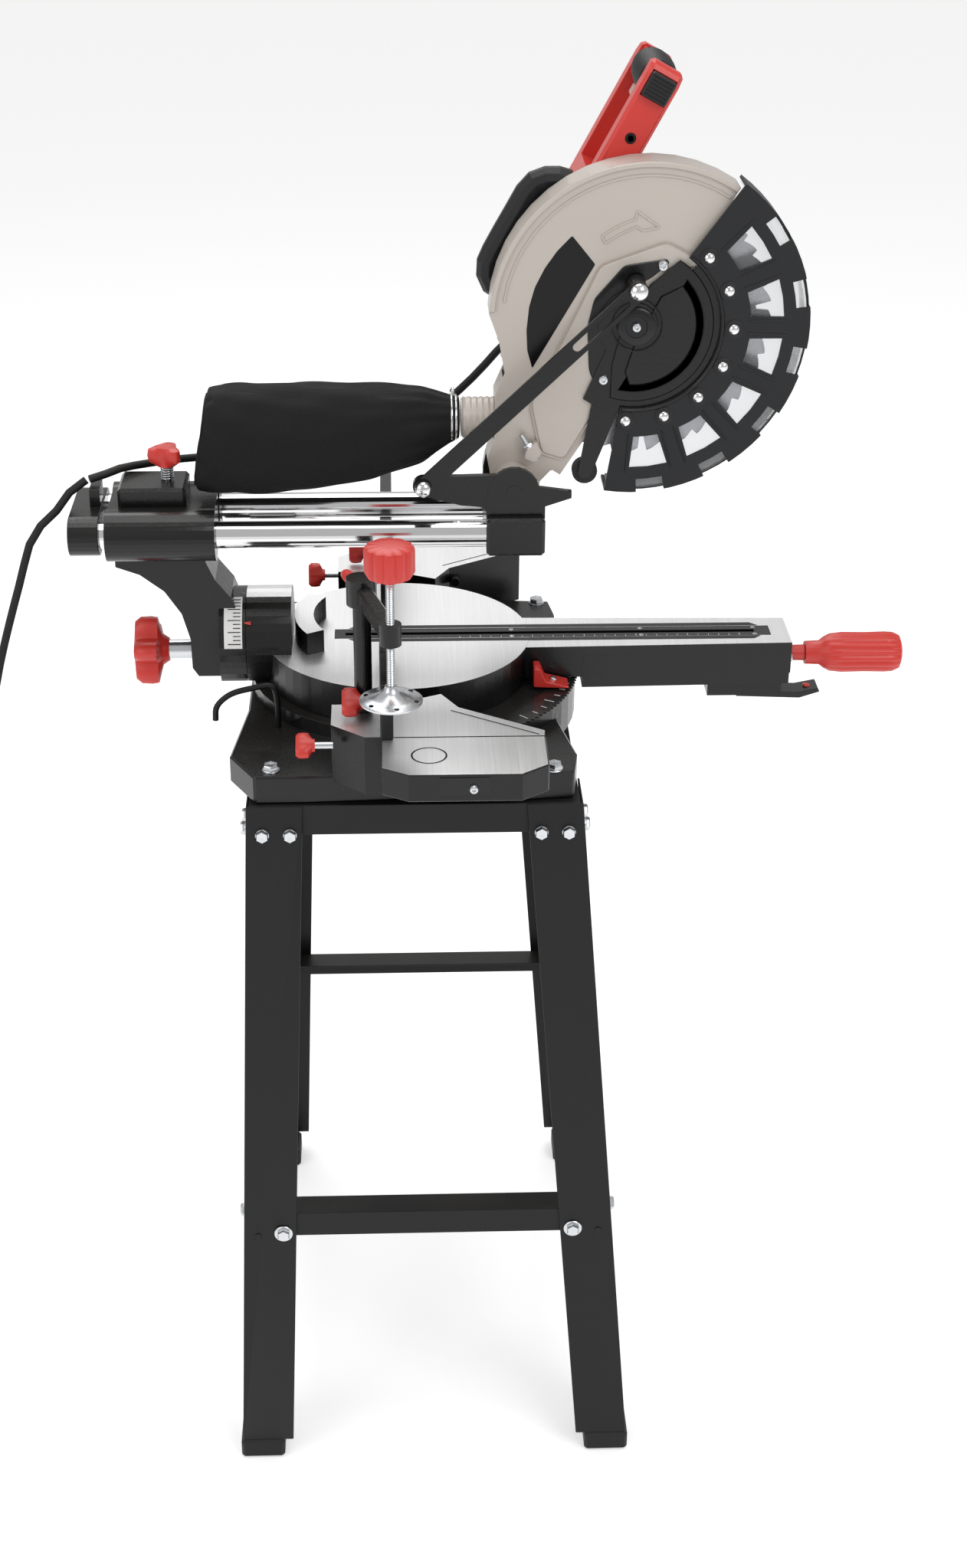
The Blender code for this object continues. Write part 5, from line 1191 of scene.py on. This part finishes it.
@dataclass
class ClampDetails:
    """Fluted knob, threaded rod, domed pad with black discs painted as the shade of its holes, and the post's
    wing knob.
    """
    place: tuple = (-0.262, 0.006)
    post: tuple = (-0.170, 0.031, 0.9125)
    away: tuple = (0.092, 0.025, 0.0)

    def build(self) -> None:
        """Thread as a fine wave of the rod's radius; knob as a fluted turned shape."""
        x, y = self.place
        rows = [(0.0036 + 0.0003 * math.cos(TAU * k / 4), 0.858 + 0.108 * k / 216) for k in range(217)]
        dress(lathe("clamp_threaded_rod", rows, (x, y, 0), UP, 14), ZINC, "clamp_screw", "clamp_screw")
        rows = [(0.0080, 0.9600, 0), (0.0090, 0.9635, 0), (0.0190, 0.9650, 0.6), (0.0214, 0.9690, 1),
                (0.0214, 0.9880, 1), (0.0207, 0.9905, 1), (0.0180, 0.9918, 0.8), (0.0080, 0.9926, 0),
                (0.0010, 0.9928, 0)]
        dress(lathe("clamp_knob_fluted", rows, (x, y, 0), UP, 96, 12, 0.10, 0.5), RED, "clamp_screw")
        rows = [(0.0270, 0.8500), (0.0272, 0.8516), (0.0262, 0.8524), (0.0200, 0.8532), (0.0150, 0.8552),
                (0.0090, 0.8590), (0.0060, 0.8620), (0.0052, 0.8650)]
        dress(lathe("clamp_pad_domed", rows, (x, y, 0), UP, 48), ZINC, "clamp_screw")
        # Six thin black discs on the pad: painted shade of its holes, which are not cut.
        for k in range(6):
            a = math.radians(60 * k + 12)
            seat = (x + 0.0225 * math.cos(a), y + 0.0225 * math.sin(a), 0.8526)
            dress(lathe(f"pad_hole_{k}", [(0.0022, 0), (0.0022, 0.0005)], seat, UP, 14), PLAIN_BLACK_AND_HOLE_SHADE, "clamp_screw")
        away = np.array(self.away) / np.linalg.norm(self.away)
        seat = np.array(self.post) + away * 0.0120
        wing_knob("clamp_post_lock", tuple(seat), tuple(away), 0.006, 0.0125, "clamp_arm", 40)


@dataclass
class DustBag:
    """Cloth bag: a lofted shell whose section follows the bag's spine, filled by a short cloth run.

    Each row of the spine is (y, z, half width, half height).
    """
    spine: tuple = ((-0.0600, 1.0140, 0.0185, 0.0185), (-0.0480, 1.0130, 0.0215, 0.0225),
                    (-0.0250, 1.0100, 0.0290, 0.0330), (0.0200, 1.0040, 0.0340, 0.0420),
                    (0.0800, 0.9995, 0.0360, 0.0480), (0.1300, 0.9980, 0.0370, 0.0490),
                    (0.1600, 0.9970, 0.0370, 0.0485), (0.1760, 0.9960, 0.0350, 0.0460),
                    (0.1810, 0.9950, 0.0300, 0.0400))
    lean: float = 0.16
    middle: float = 0.0015
    wire: float = 0.0011
    reach: float = 0.0035

    def shell(self) -> bpy.types.Object:
        """Super-elliptic rings along the spine, with gathers near the neck and a slanted end."""
        rows = np.array(self.spine)
        t = np.linspace(0, 1, 72)
        knots = np.linspace(0, 1, len(rows))
        y, z, wide, high = (np.interp(t, knots, rows[:, k]) for k in range(4))
        kernel = np.array((1, 4, 6, 4, 1)) / 16
        wide, high = (np.concatenate([v[:2], np.convolve(v, kernel, "valid"), v[-2:]])
                      for v in (wide, high))
        angle = full_turn(96)
        power = 2 / (2 + 1.1 * np.clip(t * 3, 0, 1))[:, None]
        a, b = (np.sign(wave) * np.abs(wave) ** power for wave in (np.cos(angle), np.sin(angle)))
        fold = 1 + 0.030 * np.exp(-((t - 0.22) / 0.16) ** 2)[:, None] * np.cos(14 * angle)
        belly = np.sin(math.pi * t)[:, None]
        crease = (1 + 0.018 * np.sin(9 * angle + 21 * t[:, None]) * belly
                  + 0.012 * np.sin(5 * angle - 34 * t[:, None]) * belly)
        sag = -0.003 * np.sin(math.pi * t)
        slant = self.lean * high[:, None] * b * t[:, None] ** 2
        rings = np.stack([self.middle + wide[:, None] * a * fold * crease, y[:, None] - slant,
                          (z + sag)[:, None] + high[:, None] * b * fold * crease], axis=-1)
        return skin("cloth_bag", rings, smooth=70)

    def build(self) -> None:
        """Loft the shell, settle it as cloth, and add the wire clip at its neck."""
        piece = self.shell()
        self.settle(piece)
        smooth = piece.modifiers.new("smooth", "SUBSURF")
        smooth.levels = smooth.render_levels = 1
        dress(piece, CLOTH, None, "dust_bag")
        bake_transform(piece)
        turn = full_turn(40)
        for k, (y, r) in enumerate(((-0.0560, 0.0202), (-0.0520, 0.0212))):
            ring = np.stack([self.middle + r * np.cos(turn), turn * 0 + y, 1.0138 + r * np.sin(turn)], axis=1)
            dress(pipe(f"wire_clip_{k}", ring, self.wire, 10, cyclic=True), CHROME, "head")
        ears = [(0.019, -0.0540, 1.0240), (0.027, -0.0540, 1.0330), (0.031, -0.0520, 1.0300),
                (0.024, -0.0530, 1.0190)]
        dress(pipe("wire_clip_ears", smooth_route(ears, 20), self.wire, 10), CHROME, "head")

    def settle(self, piece: bpy.types.Object) -> None:
        """Inflate the shell lightly as cloth; no point moves further than the reach.

        Args:
            piece: The bag's shell.
        """
        before = np.empty(len(piece.data.vertices) * 3, dtype=np.float32)
        piece.data.vertices.foreach_get("co", before)
        cloth = piece.modifiers.new("cloth", "CLOTH")
        cloth.settings.use_pressure = True
        cloth.settings.uniform_pressure_force = 2.0
        cloth.settings.effector_weights.gravity = 0
        cloth.settings.quality = 4
        scene = bpy.context.scene
        for step in range(1, 11):
            scene.frame_set(step)
        baked = piece.evaluated_get(bpy.context.evaluated_depsgraph_get())
        after = np.empty(len(before), dtype=np.float32)
        baked.data.vertices.foreach_get("co", after)
        piece.modifiers.remove(cloth)
        scene.frame_set(1)
        move = (after - before).reshape(-1, 3)
        size = np.linalg.norm(move, axis=1)[:, None]
        move *= np.minimum(1, self.reach / np.maximum(size, 1e-6))
        piece.data.vertices.foreach_set("co", (before.reshape(-1, 3) + move).ravel())
        piece.data.update()


def main() -> None:
    """Build every sub-assembly in order and report the pieces that each adds."""
    logging.basicConfig(level=logging.INFO, format="%(message)s")
    parts = (Studio(), Cords(), CarriedParts(), StandHardware(), BaseDetails(), BladeDisc(), GuardDetails(),
             HandleDetails(), MotorDetails(), ClampDetails(), DustBag())
    known = set(bpy.data.objects)
    for part in parts:
        part.build()
        for item in sorted(set(bpy.data.objects) - known, key=lambda found: found.name):
            LOG.info("%s: %s", type(part).__name__, item.name)
        known = set(bpy.data.objects)


if __name__ == "__main__":
    main()
